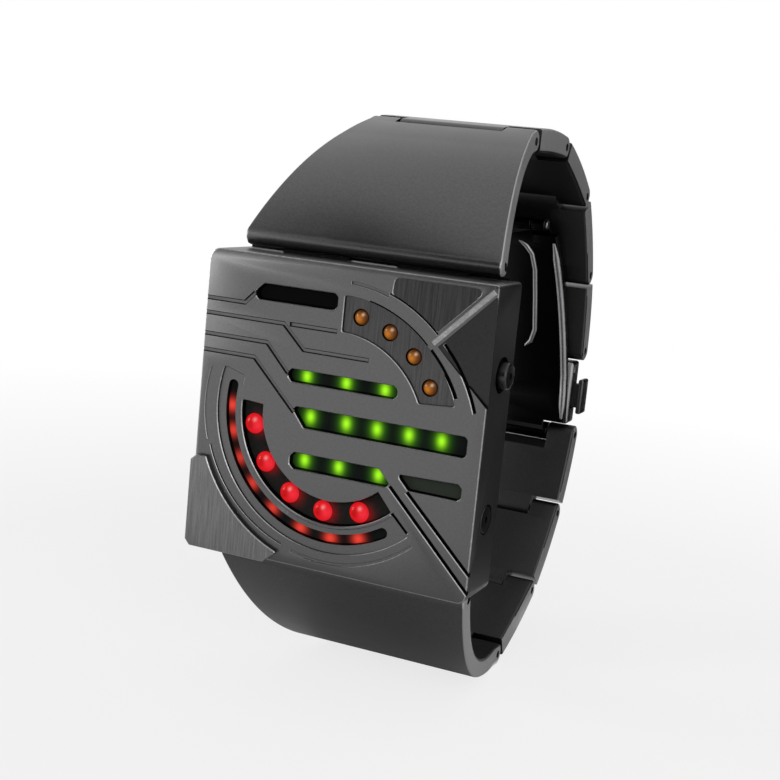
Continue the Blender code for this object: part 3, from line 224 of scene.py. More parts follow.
def studio_lamp(name, place, size, power):
    lamp = bpy.data.lights.new(name, "AREA")
    lamp.shape = "DISK"
    lamp.size = size
    lamp.energy = power
    holder = bpy.data.objects.new(name, lamp)
    holder.location = place
    holder.rotation_euler = (-Vector(place)).to_track_quat("-Z", "Y").to_euler()
    scene.collection.objects.link(holder)


def studio_card(name, place, aim, width, height, tone):
    """A card that only reflections see."""
    graph = Graph(name)
    graph.finish(Base_Color=grey(tone), Roughness=1.0)
    turn = (Vector(aim) - Vector(place)).to_track_quat("Z", "Y").to_matrix().to_4x4()
    card = studio_sheet(name, graph, width, height, Matrix.Translation(place) @ turn)
    for ray in ("camera", "diffuse", "shadow", "transmission"):
        setattr(card, "visible_" + ray, False)


studio_floor()
studio_world()
studio_lamp("key", (-0.78, -0.36, 0.12), 0.3, 3.0)
studio_lamp("fill", (0.5, -0.5, 0.25), 0.5, 1.0)
studio_card("dark_behind", (0.25, 0.55, 0.05), (0.0, 0.0, 0.0), 0.9, 0.7, 0.01)
studio_card("dark_behind_floor", (0.2, 0.28, CARD_LEVEL), (0.2, 0.28, 0.0), 0.36, 0.46, 0.02)
studio_card("dark_front", (0.2, -0.85, 0.3), (0.0, 0.0, 0.05), 1.1, 0.6, 0.02)
studio_card("grey_left", (-0.62, -0.75, 0.33), (0.0, 0.0, 0.05), 0.75, 0.6, 0.6)
studio_card("dark_above", (-0.26, -0.26, 0.55), (0.0, 0.0, 0.03), 0.5, 0.3, 0.05)
studio_card("dark_below", (0.0, -0.02, CARD_LEVEL), (0.0, -0.02, 0.0), 0.16, 0.13, 0.75)

camera_data = bpy.data.cameras.new("camera")
camera_data.sensor_width = 36.0
camera_data.lens = LENS_LENGTH
camera = bpy.data.objects.new("camera", camera_data)
turn = Matrix((CAMERA_RIGHT, CAMERA_UP, CAMERA_BACK)).transposed().to_4x4()
camera.matrix_world = Matrix.Translation(CAMERA_PLACE) @ turn
scene.collection.objects.link(camera)
scene.camera = camera


# The case: one milled steel block, coated dark grey. Its front carries the dial's relief, its windows
# and its lamp slots, its back is hollow for the module, and two broad lugs carry the bracelet. The flats
# are satin, and the raised block and the sunk bands are brushed upright. The chamfers and the ridge get a
# paler tone, a painted highlight with rubbed wear spots. The slot walls, the deep floors, the rims
# beside the shallow lines and the ledge behind the lugs get a near-black painted shade, and the facet on
# the right a darker painted shade.
MM = 0.001
DIAL = -10.0
CASE_HALF = 20.0
DIAL_UNIT = 19.9
CASE_CORNERS = (0.5, 1.5, 1.3, 1.2)
CASE_EDGE = 0.16
RIM = 0.1
SKIM = 0.04
CLEAR = 1.0
WALL_END = -8.0
CAVITY_HALF = (17.4, 17.3)
CAVITY_CHAMFER = 5.97
CAVITY_FLOOR = 1.8
BLOCK_RISE = 0.7
BLOCK_RADIUS = 19.5
BLOCK_ANGLES = (203.0, 250.0)
BLOCK_CORNER = 0.3
BLOCK_EDGE = 0.12
SLOT_CORNER = 0.4
RED_SLOT_CORNER = 0.6
WINDOW_SHARES = {
    "top_window": [(-0.64, 0.725), (-0.64, 0.765), (-0.59, 0.8125), (-0.08, 0.8125),
                   (-0.055, 0.79), (-0.055, 0.73), (-0.08, 0.705), (-0.62, 0.705)],
    "low_window": [(0.475, -0.26), (0.875, -0.25), (0.90, -0.275), (0.90, -0.335),
                   (0.875, -0.355), (0.545, -0.352), (0.48, -0.285)],
    "green_top": [(-0.36, 0.235), (-0.36, 0.27), (-0.345, 0.292), (0.385, 0.292),
                  (0.41, 0.27), (0.41, 0.232), (0.385, 0.207), (-0.335, 0.207)],
    "green_middle": [(-0.30, 0.02), (-0.30, 0.04), (-0.285, 0.052), (0.885, 0.052),
                     (0.905, 0.035), (0.905, -0.065), (0.885, -0.08), (-0.22, -0.08)],
    "green_low": [(-0.30, -0.33), (-0.30, -0.275), (-0.275, -0.248), (0.335, -0.248),
                  (0.415, -0.335), (0.395, -0.357), (-0.27, -0.357)],
}
BLOCK_SHARES = [(-1.02, -0.42), (-0.975, -0.38), (-0.91, -0.38)]
BLOCK_END_SHARES = [(-0.33, -0.93), (-0.42, -1.01), (-0.985, -1.01), (-1.02, -0.97)]
RED_INNER_RADII = (0.525 * DIAL_UNIT, 0.68 * DIAL_UNIT)
RED_INNER_ANGLES = (177.0, 311.0)
RED_OUTER_RADII = (0.735 * DIAL_UNIT, 0.805 * DIAL_UNIT)
RED_OUTER_ANGLES = (171.0, 301.0)
LINE_WIDTH = 0.4
LINE_DEPTH = 0.24
LINES = [[(-21.5, 13.35), (-14.3, 13.35), (-12.95, 14.75)],
         [(-21.5, 11.4), (-8.4, 11.4), (-5.3, 8.45), (3.8, 8.45)],
         [(-7.45, 11.45), (-0.9, 11.45)],
         [(-21.5, 8.65), (-10.6, 8.65), (-7.3, 5.2)],
         [(-21.5, 6.5), (-12.3, 6.5), (-6.0, 0.3)]]
CUT_WIDTH = 0.42
CUT_DEPTH = 0.7
DEEP_CUTS = [[(8.35, -6.9), (20.9, -19.3)],
             [(10.75, -7.2), (21.2, -17.2)],
             [(9.0, -10.3), (11.3, -12.5)]]
AMBER_CENTRE = (-0.4, -1.1)
RIGHT_CENTRE = (-0.8, -2.3)
SHALLOW_ARCS = [((18.75, 19.1), (87.0, 71.0), AMBER_CENTRE, LINE_DEPTH, 0.06),
                ((17.9, 18.2), (255.0, 312.0), (0.0, -0.5), 0.15, 0.1),
                ((17.85, 18.05), (199.0, 253.0), (-0.8, -0.2), 0.2, 0.06),
                ((17.5, 17.7), (165.0, 197.0), (-1.4, -0.2), 0.12, 0.06)]
DEEP_ARCS = [((18.2, 18.65), (46.0, 25.0), RIGHT_CENTRE, RIM),
             ((20.15, 20.55), (44.4, 18.3), RIGHT_CENTRE, RIM),
             ((17.25, 17.4), (78.0, 46.5), AMBER_CENTRE, 0.05),
             ((19.15, 19.35), (71.0, 47.0), AMBER_CENTRE, 0.05)]
AMBER_RADII = (12.6, 17.2)
AMBER_OUTER_ANGLES = (89.3, 18.9)
AMBER_INNER_ANGLES = (24.4, 89.1)
AMBER_CORNER = 0.6
AMBER_DEPTH = 0.35
AMBER_LAMP_RADIUS = 13.79
AMBER_LAMP_ANGLES = (81.0, 63.0, 45.0, 27.0)
AMBER_HOLE = 1.1
RING_RADII = (13.95, 17.2)
RING_ANGLES = (164.0, 312.0)
RING_CORNER = 0.5
RING_DEPTH = 0.3
PLATE_RADIUS = 19.35
PLATE_ANGLES = (47.8, 70.0)
PLATE_TOP = [(6.4, 19.2), (18.6, 19.2)]
PLATE_CORNER = 0.8
PLATE_DEPTH = 0.14
RIDGE = [(12.2, 11.7), (19.55, 19.05)]
RIDGE_WIDTH = 0.75
RIDGE_RISE = 0.12
RIDGE_EDGE = 0.1
FACET = [(12.9, 11.5), (19.7, 18.4), (20.9, 18.4), (20.9, 4.0)]
FACET_DEPTHS = (0.03, 0.03, 0.074, 0.6)
LUG_PLACE = 8.3
LUG_HALF = 5.0
LUG_RADIUS = 1.0
NECK_INSET = 0.1
NECK_FRONT = 0.2
NECK_REAR = 0.65
PIN_RADIUS = 0.6
LEDGE_HALF = 18.4
LEDGE_RISE = 0.34
LEDGE_DEPTH = 0.4
BUTTON_Y = -5.6
UPPER_BUTTON_Z = 8.6
LOWER_BUTTON_Z = -9.8
POCKETS = ((UPPER_BUTTON_Z, 2.3), (LOWER_BUTTON_Z, 1.95))
POCKET_FLOOR = 18.4
STEM_BORE = 0.8
SCREW_BORE = 0.75
SCREW_CLEAR = 0.2
SMALL_STEP = 15.0
LEVEL_FIT = 0.01
SHALLOW_END = 0.45
RIB_START = 3.0
PLATE_LOW = 10.0
FACET_LEAN = 0.02
EDGE_BREAK = 0.3
WALL_START = 0.12
WALL_REACH = (19.7, 19.6)
FRONT_FACING = -0.95
SLOPE = 0.3


def reach_mm(name):
    """The lowest and highest corners of a node, in millimetres."""
    low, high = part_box(name)
    return Vector(low) / MM, Vector(high) / MM


def pin_place(name):
    """A pin's middle line, as its depth and its height."""
    low, high = reach_mm(name)
    return Vector(((low.y + high.y) / 2, (low.z + high.z) / 2))


def on_dial(shares):
    return [(x * DIAL_UNIT, z * DIAL_UNIT) for x, z in shares]


def on_circle(radius, angles, centre=(0.0, 0.0)):
    turns = [math.radians(angle) for angle in angles]
    return [(centre[0] + radius * math.cos(turn), centre[1] + radius * math.sin(turn)) for turn in turns]


def arc(radius, start, end, centre=(0.0, 0.0), step=2.5):
    count = max(2, round(abs(end - start) / step))
    return on_circle(radius, [start + (end - start) * index / count for index in range(count + 1)], centre)


def curved_slot(radii, angles, centre=(0.0, 0.0)):
    return arc(radii[1], *angles, centre=centre) + arc(radii[0], angles[1], angles[0], centre=centre)


def round_slot(radii, angles):
    """A curved slot with half-round ends."""
    middle = (radii[0] + radii[1]) / 2
    half = (radii[1] - radii[0]) / 2
    start, end = angles
    first, last = on_circle(middle, angles)
    return (arc(radii[1], start, end) + arc(half, end, end + 180.0, last, SMALL_STEP)[1:-1]
            + arc(radii[0], end, start) + arc(half, start + 180.0, start + 360.0, first, SMALL_STEP)[1:-1])


def bend(start, corner, end, share):
    """A place on the smooth bend between two ends that a corner pulls."""
    return start * (1 - share) ** 2 + corner * 2 * share * (1 - share) + end * share ** 2


def softened(outline, radius, steps=4):
    """The outline with its sharp corners rounded."""
    points = []
    for index, corner in enumerate(outline):
        corner = Vector(corner)
        back = Vector(outline[index - 1]) - corner
        ahead = Vector(outline[(index + 1) % len(outline)]) - corner
        half = back.angle(ahead) / 2
        if half > math.radians(80.0):
            points.append(tuple(corner))
            continue
        reach = min(radius / math.tan(half), back.length * 0.45, ahead.length * 0.45)
        start = corner + back.normalized() * reach
        end = corner + ahead.normalized() * reach
        points += [tuple(bend(start, corner, end, step / steps)) for step in range(steps + 1)]
    return points


def strip(points, width):
    """The outline of a line of a given width."""
    points = [Vector(point) for point in points]
    sides = ([], [])
    for index, point in enumerate(points):
        before = (point - points[index - 1]).normalized() if index else None
        after = (points[index + 1] - point).normalized() if index + 1 < len(points) else before
        before = before or after
        ahead = (before + after).normalized()
        side = Vector((-ahead.y, ahead.x)) * (width / 2 / max(0.5, ahead.dot(after)))
        sides[0].append(tuple(point + side))
        sides[1].append(tuple(point - side))
    return sides[0] + sides[1][::-1]


def grown(outline, reach):
    """The outline with each edge moved outwards."""
    points = [Vector(point) for point in outline]
    area = sum(a.cross(b) for a, b in zip(points, points[1:] + points[:1]))
    sign = 1.0 if area > 0 else -1.0
    moved = []
    for index, point in enumerate(points):
        before = (point - points[index - 1]).normalized()
        after = (points[(index + 1) % len(points)] - point).normalized()
        normal = (Vector((before.y, -before.x)) + Vector((after.y, -after.x))).normalized() * sign
        lean = max(0.5, normal.dot(Vector((after.y, -after.x)) * sign))
        moved.append(tuple(point + normal * (reach / lean)))
    return moved


def level(outline, y):
    return [Vector((x, y, z)) for x, z in outline]


def stack(bm, rings):
    """A closed solid through rings of as many points each: a face that is extruded from ring to ring."""
    foot = bm.faces.new([bm.verts.new(point) for point in rings[0]])
    cap = foot
    for before, after in zip(rings, rings[1:]):
        made = bmesh.ops.extrude_face_region(bm, geom=[cap])["geom"]
        if cap is not foot:
            bmesh.ops.delete(bm, geom=[cap], context="FACES_ONLY")
        cap = next(item for item in made if isinstance(item, bmesh.types.BMFace))
        targets = {}
        for vert in cap.verts:
            reach = [(vert.co - point).length_squared for point in before]
            targets[vert] = reach.index(min(reach))
        for vert, index in targets.items():
            vert.co = after[index]
    return bm


def sink(bm, outline, bottom, rim=RIM):
    """A cutter that enters the dial with a chamfered rim."""
    wide = grown(outline, rim + SKIM)
    return stack(bm, [level(wide, DIAL - BLOCK_RISE - CLEAR), level(wide, DIAL - SKIM),
                      level(outline, DIAL + rim), level(outline, bottom)])


def raised(outline, rise, edge):
    """A solid that stands on the dial, with a chamfered top."""
    return stack(bmesh.new(), [level(grown(outline, -edge), DIAL - rise), level(outline, DIAL - rise + edge),
                               level(outline, DIAL + CLEAR / 2)])


def piece_of(name, bm):
    """An object in millimetres, with its faces pointing outwards."""
    bmesh.ops.recalc_face_normals(bm, faces=bm.faces)
    mesh = bpy.data.meshes.new(name)
    bm.to_mesh(mesh)
    bm.free()
    obj = bpy.data.objects.new(name, mesh)
    scene.collection.objects.link(obj)
    return obj


def apply_modifiers(obj):
    bpy.context.view_layer.update()
    graph = bpy.context.evaluated_depsgraph_get()
    mesh = bpy.data.meshes.new_from_object(obj.evaluated_get(graph))
    old = obj.data
    obj.modifiers.clear()
    obj.data = mesh
    bpy.data.meshes.remove(old)


def carve(obj, bm, operation="DIFFERENCE"):
    """Cuts a tool's shape from the piece, or joins it on, for good."""
    tool = piece_of("tool", bm)
    modifier = obj.modifiers.new("carve", "BOOLEAN")
    modifier.operation = operation
    modifier.solver = "EXACT"
    modifier.object = tool
    apply_modifiers(obj)
    mesh = tool.data
    bpy.data.objects.remove(tool)
    bpy.data.meshes.remove(mesh)


def rounded_rod(bm, start, end, radius, edge=0.0, sides=48):
    """A turned rod between two points, with rounded rims."""
    start = Vector(start)
    end = Vector(end)
    length = (end - start).length
    turn = (end - start).to_track_quat("Z", "Y").to_matrix().to_4x4()
    place = Matrix.Translation((start + end) / 2) @ turn
    made = bmesh.ops.create_cone(bm, cap_ends=True, segments=sides, radius1=radius, radius2=radius,
                                 depth=length, matrix=place)
    if edge > 0:
        axis = (end - start).normalized()
        rims = {item for vert in made["verts"] for item in vert.link_edges
                if abs((item.verts[0].co - item.verts[1].co).dot(axis)) < length / 2}
        bmesh.ops.bevel(bm, geom=list(rims), offset=edge, segments=3, profile=0.5, affect="EDGES",
                        material=-1)
    return bm


def slab(bm, low, high, edge=0.0):
    """A block between two corners, with rounded edges."""
    low = Vector(low)
    high = Vector(high)
    made = bmesh.ops.create_cube(bm, size=1.0)["verts"]
    bmesh.ops.scale(bm, vec=high - low, verts=made)
    bmesh.ops.translate(bm, vec=(low + high) / 2, verts=made)
    if edge > 0:
        rims = {item for vert in made for item in vert.link_edges}
        bmesh.ops.bevel(bm, geom=list(rims), offset=edge, segments=3, profile=0.5, affect="EDGES",
                        material=-1)
    return bm


def place_piece(obj, body, nodes, materials, smooth=32.0):
    """Brings a piece to metres, and gives it its finish, its body and the nodes that it stands for."""
    obj.data.transform(Matrix.Scale(MM, 4))
    for material in materials:
        obj.data.materials.append(material)
    obj.data.shade_smooth()
    obj.data.set_sharp_from_angle(angle=math.radians(smooth))
    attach(obj, body)
    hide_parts(*nodes)
    return obj


def gunmetal(name, tone=0.13, roughness=0.36, brushing=0.0, wear=0.0):
    """Coated steel with a fine grain or upright brushing, and rubbed spots where it is worn."""
    graph = Finish(name)
    grain = graph.noise(3.0, detail=6.0, roughness=0.7)
    cloud = graph.noise(0.12, detail=2.0)
    strokes = graph.noise((4.5, 4.5, 0.16), detail=5.0, roughness=0.7)
    lines = strokes * brushing + grain * (1.0 - brushing)
    shade = graph.ramp(lines * (0.9 + 0.2 * cloud), 0.32, 0.68)
    varied = graph.mix(shade, grey(tone, 0.55, blue=0.02), grey(tone, 1.55, blue=0.02))
    colour = graph.mix(0.2 + 0.7 * brushing, grey(tone, blue=0.02), varied)
    if wear > 0:
        rubbed = graph.noise(2.2, detail=4.0, roughness=0.8)
        colour = graph.mix(graph.ramp(rubbed, 0.5, 0.66, wear), colour, grey(0.5))
    rough = roughness + 0.12 * (cloud - 0.5) + 0.1 * (lines - 0.5)
    normal = graph.bump(lines, 0.1 + 0.3 * brushing, 0.00002)
    return graph.finish(Base_Color=colour, Roughness=rough.clamped(), Metallic=1.0, Normal=normal)


AMBER_LAMPS = on_circle(AMBER_LAMP_RADIUS, AMBER_LAMP_ANGLES)
SATIN = gunmetal("gunmetal_satin", tone=0.135)
BRUSHED = gunmetal("gunmetal_brushed", tone=0.18, brushing=0.85)
# A paler tone on the chamfers and the ridge top: a painted highlight, with rubbed wear spots.
EDGE_HIGHLIGHT_AND_WEAR = gunmetal("gunmetal_edge_highlight_and_wear", tone=0.3, roughness=0.32, wear=0.75)
# A near-black painted shade for the slot walls, the deep floors, the rims beside the shallow lines and the
# ledge.
SHADOW = gunmetal("gunmetal_shadow", tone=0.015, roughness=0.6)
RING = gunmetal("gunmetal_ring", tone=0.17, brushing=0.75)
BAND = gunmetal("gunmetal_band", tone=0.075, brushing=0.8)
PLATE = gunmetal("gunmetal_plate", tone=0.05, brushing=0.9)
# A darker tone on the right facet: a painted shade.
FACET_PAINTED_SHADE = gunmetal("gunmetal_facet_painted_shade", tone=0.035, roughness=0.3)
CASE_FINISH = [SATIN, BRUSHED, EDGE_HIGHLIGHT_AND_WEAR, SHADOW, RING, BAND, PLATE, FACET_PAINTED_SHADE]


def case_outline():
    corners = []
    signs = ((1, 1), (-1, 1), (-1, -1), (1, -1))
    for (sx, sz), radius, start in zip(signs, CASE_CORNERS, (0.0, 90.0, 180.0, 270.0)):
        centre = (sx * (CASE_HALF - radius), sz * (DIAL_UNIT - radius))
        corners += arc(radius, start, start + 90.0, centre, SMALL_STEP)
    return corners


def build_case():
    outline = case_outline()
    back = reach_mm("case_body")[1].y
    broken = CASE_EDGE * EDGE_BREAK
    rims = ((CASE_EDGE, DIAL), (broken, DIAL + broken), (0.0, DIAL + CASE_EDGE),
            (0.0, back - CASE_EDGE), (CASE_EDGE, back))
    case = piece_of("case", stack(bmesh.new(), [level(grown(outline, -inset), y) for inset, y in rims]))
    block = on_dial(BLOCK_SHARES) + arc(BLOCK_RADIUS, *BLOCK_ANGLES) + on_dial(BLOCK_END_SHARES)
    carve(case, raised(softened(block, BLOCK_CORNER), BLOCK_RISE, BLOCK_EDGE), "UNION")
    carve(case, raised(strip(RIDGE, RIDGE_WIDTH), RIDGE_RISE, RIDGE_EDGE), "UNION")
    for side in (1, -1):
        y, z = pin_place("upper_lug_pin" if side > 0 else "lower_lug_pin")
        foot = side * (DIAL_UNIT - CLEAR)
        ledge = side * (DIAL_UNIT + LEDGE_RISE)
        tool = slab(bmesh.new(), (-LEDGE_HALF, back - LEDGE_DEPTH, min(foot, ledge)),
                    (LEDGE_HALF, back, max(foot, ledge)))
        carve(case, tool, "UNION")
        for hand in (1, -1):
            start, end = hand * LUG_PLACE - LUG_HALF, hand * LUG_PLACE + LUG_HALF
            neck = slab(bmesh.new(), (start + NECK_INSET, y - NECK_FRONT, min(foot, z)),
                        (end - NECK_INSET, y + NECK_REAR, max(foot, z)))
            carve(case, neck, "UNION")
            carve(case, rounded_rod(bmesh.new(), (start, y, z), (end, y, z), LUG_RADIUS), "UNION")
        carve(case, rounded_rod(bmesh.new(), (-CASE_HALF, y, z), (CASE_HALF, y, z), PIN_RADIUS))
    half_x, half_z = CAVITY_HALF
    chamfer = CAVITY_CHAMFER
    cavity = [(half_x, half_z - chamfer), (half_x - chamfer, half_z)]
    cavity += [(-x, z) for x, z in cavity[::-1]]
    cavity += [(-x, -z) for x, z in cavity]
    carve(case, stack(bmesh.new(), [level(cavity, DIAL + CAVITY_FLOOR), level(cavity, back + CLEAR)]))
    recesses = bmesh.new()
    amber = arc(AMBER_RADII[1], *AMBER_OUTER_ANGLES, AMBER_CENTRE)
    amber += arc(AMBER_RADII[0], *AMBER_INNER_ANGLES, AMBER_CENTRE)
    sink(recesses, softened(amber, AMBER_CORNER), DIAL + AMBER_DEPTH)
    sink(recesses, softened(curved_slot(RING_RADII, RING_ANGLES), RING_CORNER), DIAL + RING_DEPTH)
    plate = arc(PLATE_RADIUS, *PLATE_ANGLES, AMBER_CENTRE) + PLATE_TOP
    sink(recesses, softened(plate, PLATE_CORNER), DIAL + PLATE_DEPTH)
    carve(case, recesses)
    bm = bmesh.new()
    for (x, z), depth in zip(FACET, FACET_DEPTHS):
        bm.verts.new((x, DIAL + depth, z))
        bm.verts.new((x, DIAL - CLEAR, z))
    bmesh.ops.convex_hull(bm, input=bm.verts)
    carve(case, bm)
    fine = bmesh.new()
    for points in LINES:
        sink(fine, strip(points, LINE_WIDTH), DIAL + LINE_DEPTH)
    for radii, angles, centre, depth, rim in SHALLOW_ARCS:
        sink(fine, curved_slot(radii, angles, centre), DIAL + depth, rim)
    carve(case, fine)
    deep = bmesh.new()
    for points in DEEP_CUTS:
        sink(deep, strip(points, CUT_WIDTH), DIAL + CUT_DEPTH)
    for radii, angles, centre, rim in DEEP_ARCS:
        sink(deep, curved_slot(radii, angles, centre), DIAL + CUT_DEPTH, rim)
    carve(case, deep)
    slots = bmesh.new()
    for shares in WINDOW_SHARES.values():
        sink(slots, softened(on_dial(shares), SLOT_CORNER), WALL_END)
    sink(slots, softened(curved_slot(RED_INNER_RADII, RED_INNER_ANGLES), RED_SLOT_CORNER), WALL_END)
    sink(slots, round_slot(RED_OUTER_RADII, RED_OUTER_ANGLES), WALL_END)
    for x, z in AMBER_LAMPS:
        sink(slots, arc(AMBER_HOLE, 0.0, 360.0 - SMALL_STEP, (x, z), SMALL_STEP), WALL_END)
    carve(case, slots)
    pockets = bmesh.new()
    for z, radius in POCKETS:
        rounded_rod(pockets, (POCKET_FLOOR, BUTTON_Y, z), (CASE_HALF + CLEAR, BUTTON_Y, z), radius)
    carve(case, pockets)
    stems = bmesh.new()
    for z, radius in POCKETS:
        start, end = CAVITY_HALF[0] - CLEAR, POCKET_FLOOR + CLEAR / 2
        rounded_rod(stems, (start, BUTTON_Y, z), (end, BUTTON_Y, z), STEM_BORE)
    carve(case, stems)
    screws = bmesh.new()
    for number in range(1, 5):
        low, high = reach_mm(f"case_back_screw_{number}")
        x, z = (low.x + high.x) / 2, (low.z + high.z) / 2
        rounded_rod(screws, (x, back + CLEAR, z), (x, low.y - SCREW_CLEAR, z), SCREW_BORE)
    carve(case, screws)
    for face in case.data.polygons:
        face.material_index = CASE_FINISH.index(case_finish_at(face.center, face.normal))
    return place_piece(case, "case", ["case_body"], CASE_FINISH)


def beside_line(place):
    """Whether a spot of the dial lies in or beside one of its shallow lines."""
    spot = Vector((place.x, place.z))
    for points in LINES:
        for start, end in zip(points, points[1:]):
            start, end = Vector(start), Vector(end)
            along = end - start
            share = min(max((spot - start).dot(along) / along.length_squared, 0.0), 1.0)
            if (start + along * share - spot).length < LINE_WIDTH / 2 + 2 * RIM:
                return True
    return False


def case_finish_at(place, normal):
    """The finish of the face at a place, from its depth below the dial and the way that it faces; hollows get
    a painted shade and edges a painted highlight.
    """
    radius = math.hypot(place.x, place.z)
    amber = math.hypot(place.x - AMBER_CENTRE[0], place.z - AMBER_CENTRE[1])
    depth = place.y - DIAL
    # The ledge behind the lugs, under the shell's end, gets a painted shade.
    if abs(place.z) > DIAL_UNIT + LEVEL_FIT and depth > RIB_START:
        return SHADOW
    if normal.y < FRONT_FACING:
        if depth < -BLOCK_RISE / 2:
            return BRUSHED
        if depth < -RIDGE_RISE / 2:
            return EDGE_HIGHLIGHT_AND_WEAR
        # Floors deeper than the shallow cuts get a painted shade.
        if depth > SHALLOW_END:
            return SHADOW
        if abs(depth - AMBER_DEPTH) < LEVEL_FIT and AMBER_RADII[0] < amber < AMBER_RADII[1]:
            return BAND
        if abs(depth - PLATE_DEPTH) < LEVEL_FIT and place.x > 0 and place.z > PLATE_LOW:
            return PLATE
        # The right facet gets its darker painted shade.
        if normal.x > FACET_LEAN and place.x > FACET[0][0]:
            return FACET_PAINTED_SHADE
        if abs(depth - RING_DEPTH) < LEVEL_FIT and RING_RADII[0] < radius < RING_RADII[1]:
            return RING
        return SATIN
    # Chamfers get the paler painted highlight, and those beside the shallow lines a painted shade.
    if normal.y < -SLOPE and depth < RING_DEPTH:
        return SHADOW if beside_line(place) else EDGE_HIGHLIGHT_AND_WEAR
    inside = abs(place.x) < WALL_REACH[0] and abs(place.z) < WALL_REACH[1]
    # Walls inside the dial's cuts get a painted shade.
    if abs(normal.y) < SLOPE and inside and depth > WALL_START:
        return SHADOW
    return SATIN


build_case()

# The case back: a steel cover on a rubber gasket, held by four countersunk screws. The cover is turned,
# so its brushing runs in rings, and the screw heads are bright steel.
def spun_steel(name, tone, roughness, centre):
    """Turned steel, whose brushing runs in rings about a centre."""
    graph = Finish(name)
    reach = squares(graph.x - centre[0], graph.z - centre[1]) ** 0.5
    rings = graph.node("ShaderNodeTexNoise", {"noise_dimensions": "1D"}, W=reach * 6.0, Detail=5.0,
                       Roughness=0.7)
    cloud = graph.noise(0.15)
    shade = graph.ramp(rings * 0.8 + cloud * 0.2, 0.3, 0.7)
    colour = graph.mix(shade, grey(tone, 0.7, blue=0.02), grey(tone, 1.3, blue=0.02))
    rough = roughness + 0.15 * (rings - 0.5) + 0.1 * (cloud - 0.5)
    return graph.finish(Base_Color=colour, Roughness=rough.clamped(), Metallic=1.0,
                        Normal=graph.bump(rings, 0.2, 0.00002))


def moulded(name, colour, roughness, grain=8.0, spread=0.25):
    """A moulded plastic or rubber with a fine grain and slow changes of gloss."""
    graph = Finish(name)
    fine = graph.noise(grain, detail=4.0, roughness=0.6)
    slow = graph.noise(0.3, detail=2.0)
    low, high = [tuple(value * share for value in colour) for share in (1 - spread, 1 + spread)]
    shade = graph.mix(graph.ramp(fine * 0.6 + slow * 0.4, 0.35, 0.65), low, high)
    rough = roughness + 0.2 * (slow - 0.5) + 0.08 * (fine - 0.5)
    return graph.finish(Base_Color=shade, Roughness=rough.clamped(), Normal=graph.bump(fine, 0.15, 0.00003))


def dress(material, *names):
    for name in names:
        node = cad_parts[name]
        node.data.materials.clear()
        node.data.materials.append(material)


PIN_STEEL = gunmetal("pin_steel", tone=0.3, roughness=0.3, brushing=0.5)
dress(spun_steel("back_steel", 0.2, 0.32, (0.0, 0.0)), "case_back")
dress(moulded("gasket_rubber", (0.02, 0.02, 0.02), 0.65), "case_back_gasket")
dress(PIN_STEEL, *[f"case_back_screw_{number}" for number in range(1, 5)])

# The module: a circuit board, a black cell frame with two coin cells under a spring clip, and two
# switches behind the push-pieces. It stays in the case's hollow and is seen once the back is off.
def board_green():
    graph = Finish("board_green")
    weave = graph.noise(3.0)
    cells = graph.node("ShaderNodeTexVoronoi", {"distance": "CHEBYCHEV"}, graph.place, Scale=0.6)
    traces = graph.ramp(cells, 0.42, 0.46)
    colour = graph.mix(traces * 0.7, (0.006, 0.05, 0.018), (0.02, 0.13, 0.045))
    colour = graph.mix(weave * 0.3, colour, (0.004, 0.03, 0.01))
    return graph.finish(Base_Color=colour, Roughness=0.3 + 0.2 * weave,
                        Normal=graph.bump(traces, 0.3, 0.00003))


BOARD = board_green()
CELL = spun_steel("cell_steel", 0.55, 0.25, (-3.0, 0.0))
dress(BOARD, "circuit_board", "green_led_row_top", "green_led_row_middle", "green_led_row_low")
dress(moulded("frame_black", (0.018, 0.018, 0.019), 0.5), "cell_frame", "upper_switch", "lower_switch")
dress(CELL, "coin_cell_1", "coin_cell_2", "cell_clip")

# The light filter: one smoked plastic plate under the dial, whose pads stand in the windows and slots.
# The lamps behind it show as soft spots, green in the straight slots and red in the outer curved one.
GREEN_PLACES = [(-4.8, 5.0), (0.8, 5.0), (6.2, 4.95),
                (-3.8, -0.1), (1.3, -0.15), (5.6, -0.15), (10.0, -0.15), (14.4, -0.15),
                (-4.1, -5.85), (0.8, -5.9), (6.4, -5.9)]
GREEN_CORE = (0.36, 0.86, 0.012)
GREEN_HALO = (0.035, 0.17, 0.001)
RED_CORE = (0.85, 0.05, 0.03)
RED_GLOW_RADIUS = 15.35
RED_GLOW_ANGLES = (181.5, 194.0, 208.0, 222.0, 238.0, 255.5, 272.0, 287.0)
RED_GLOW_SHARES = (1.0, 0.85, 0.7, 0.75, 0.8, 0.95, 1.0, 1.0)
BLACK = (0.0, 0.0, 0.0)
LOW_WINDOW_LEFT = 9.0
LOW_WINDOW_TOP = -4.6
TOP_WINDOW_LOW = 10.0


def summed(values):
    total = values[0]
    for value in values[1:]:
        total = total + value
    return total.clamped()


def spots(graph, places, reach, shift=(0.0, 0.0), tall=1.0, shares=None):
    """A soft spot beside each place: 1 in its middle, falling to nothing, and higher than wide where tall."""
    blobs = []
    for a, b in places:
        far = squares(graph.x - (a + shift[0]), (graph.z - (b + shift[1])) * (1 / tall))
        blobs.append(graph.node("ShaderNodeMath", {"operation": "POWER"}, math.e, far * (-1.0 / reach ** 2)))
    if shares:
        blobs = [spot * share for spot, share in zip(blobs, shares)]
    return summed(blobs)


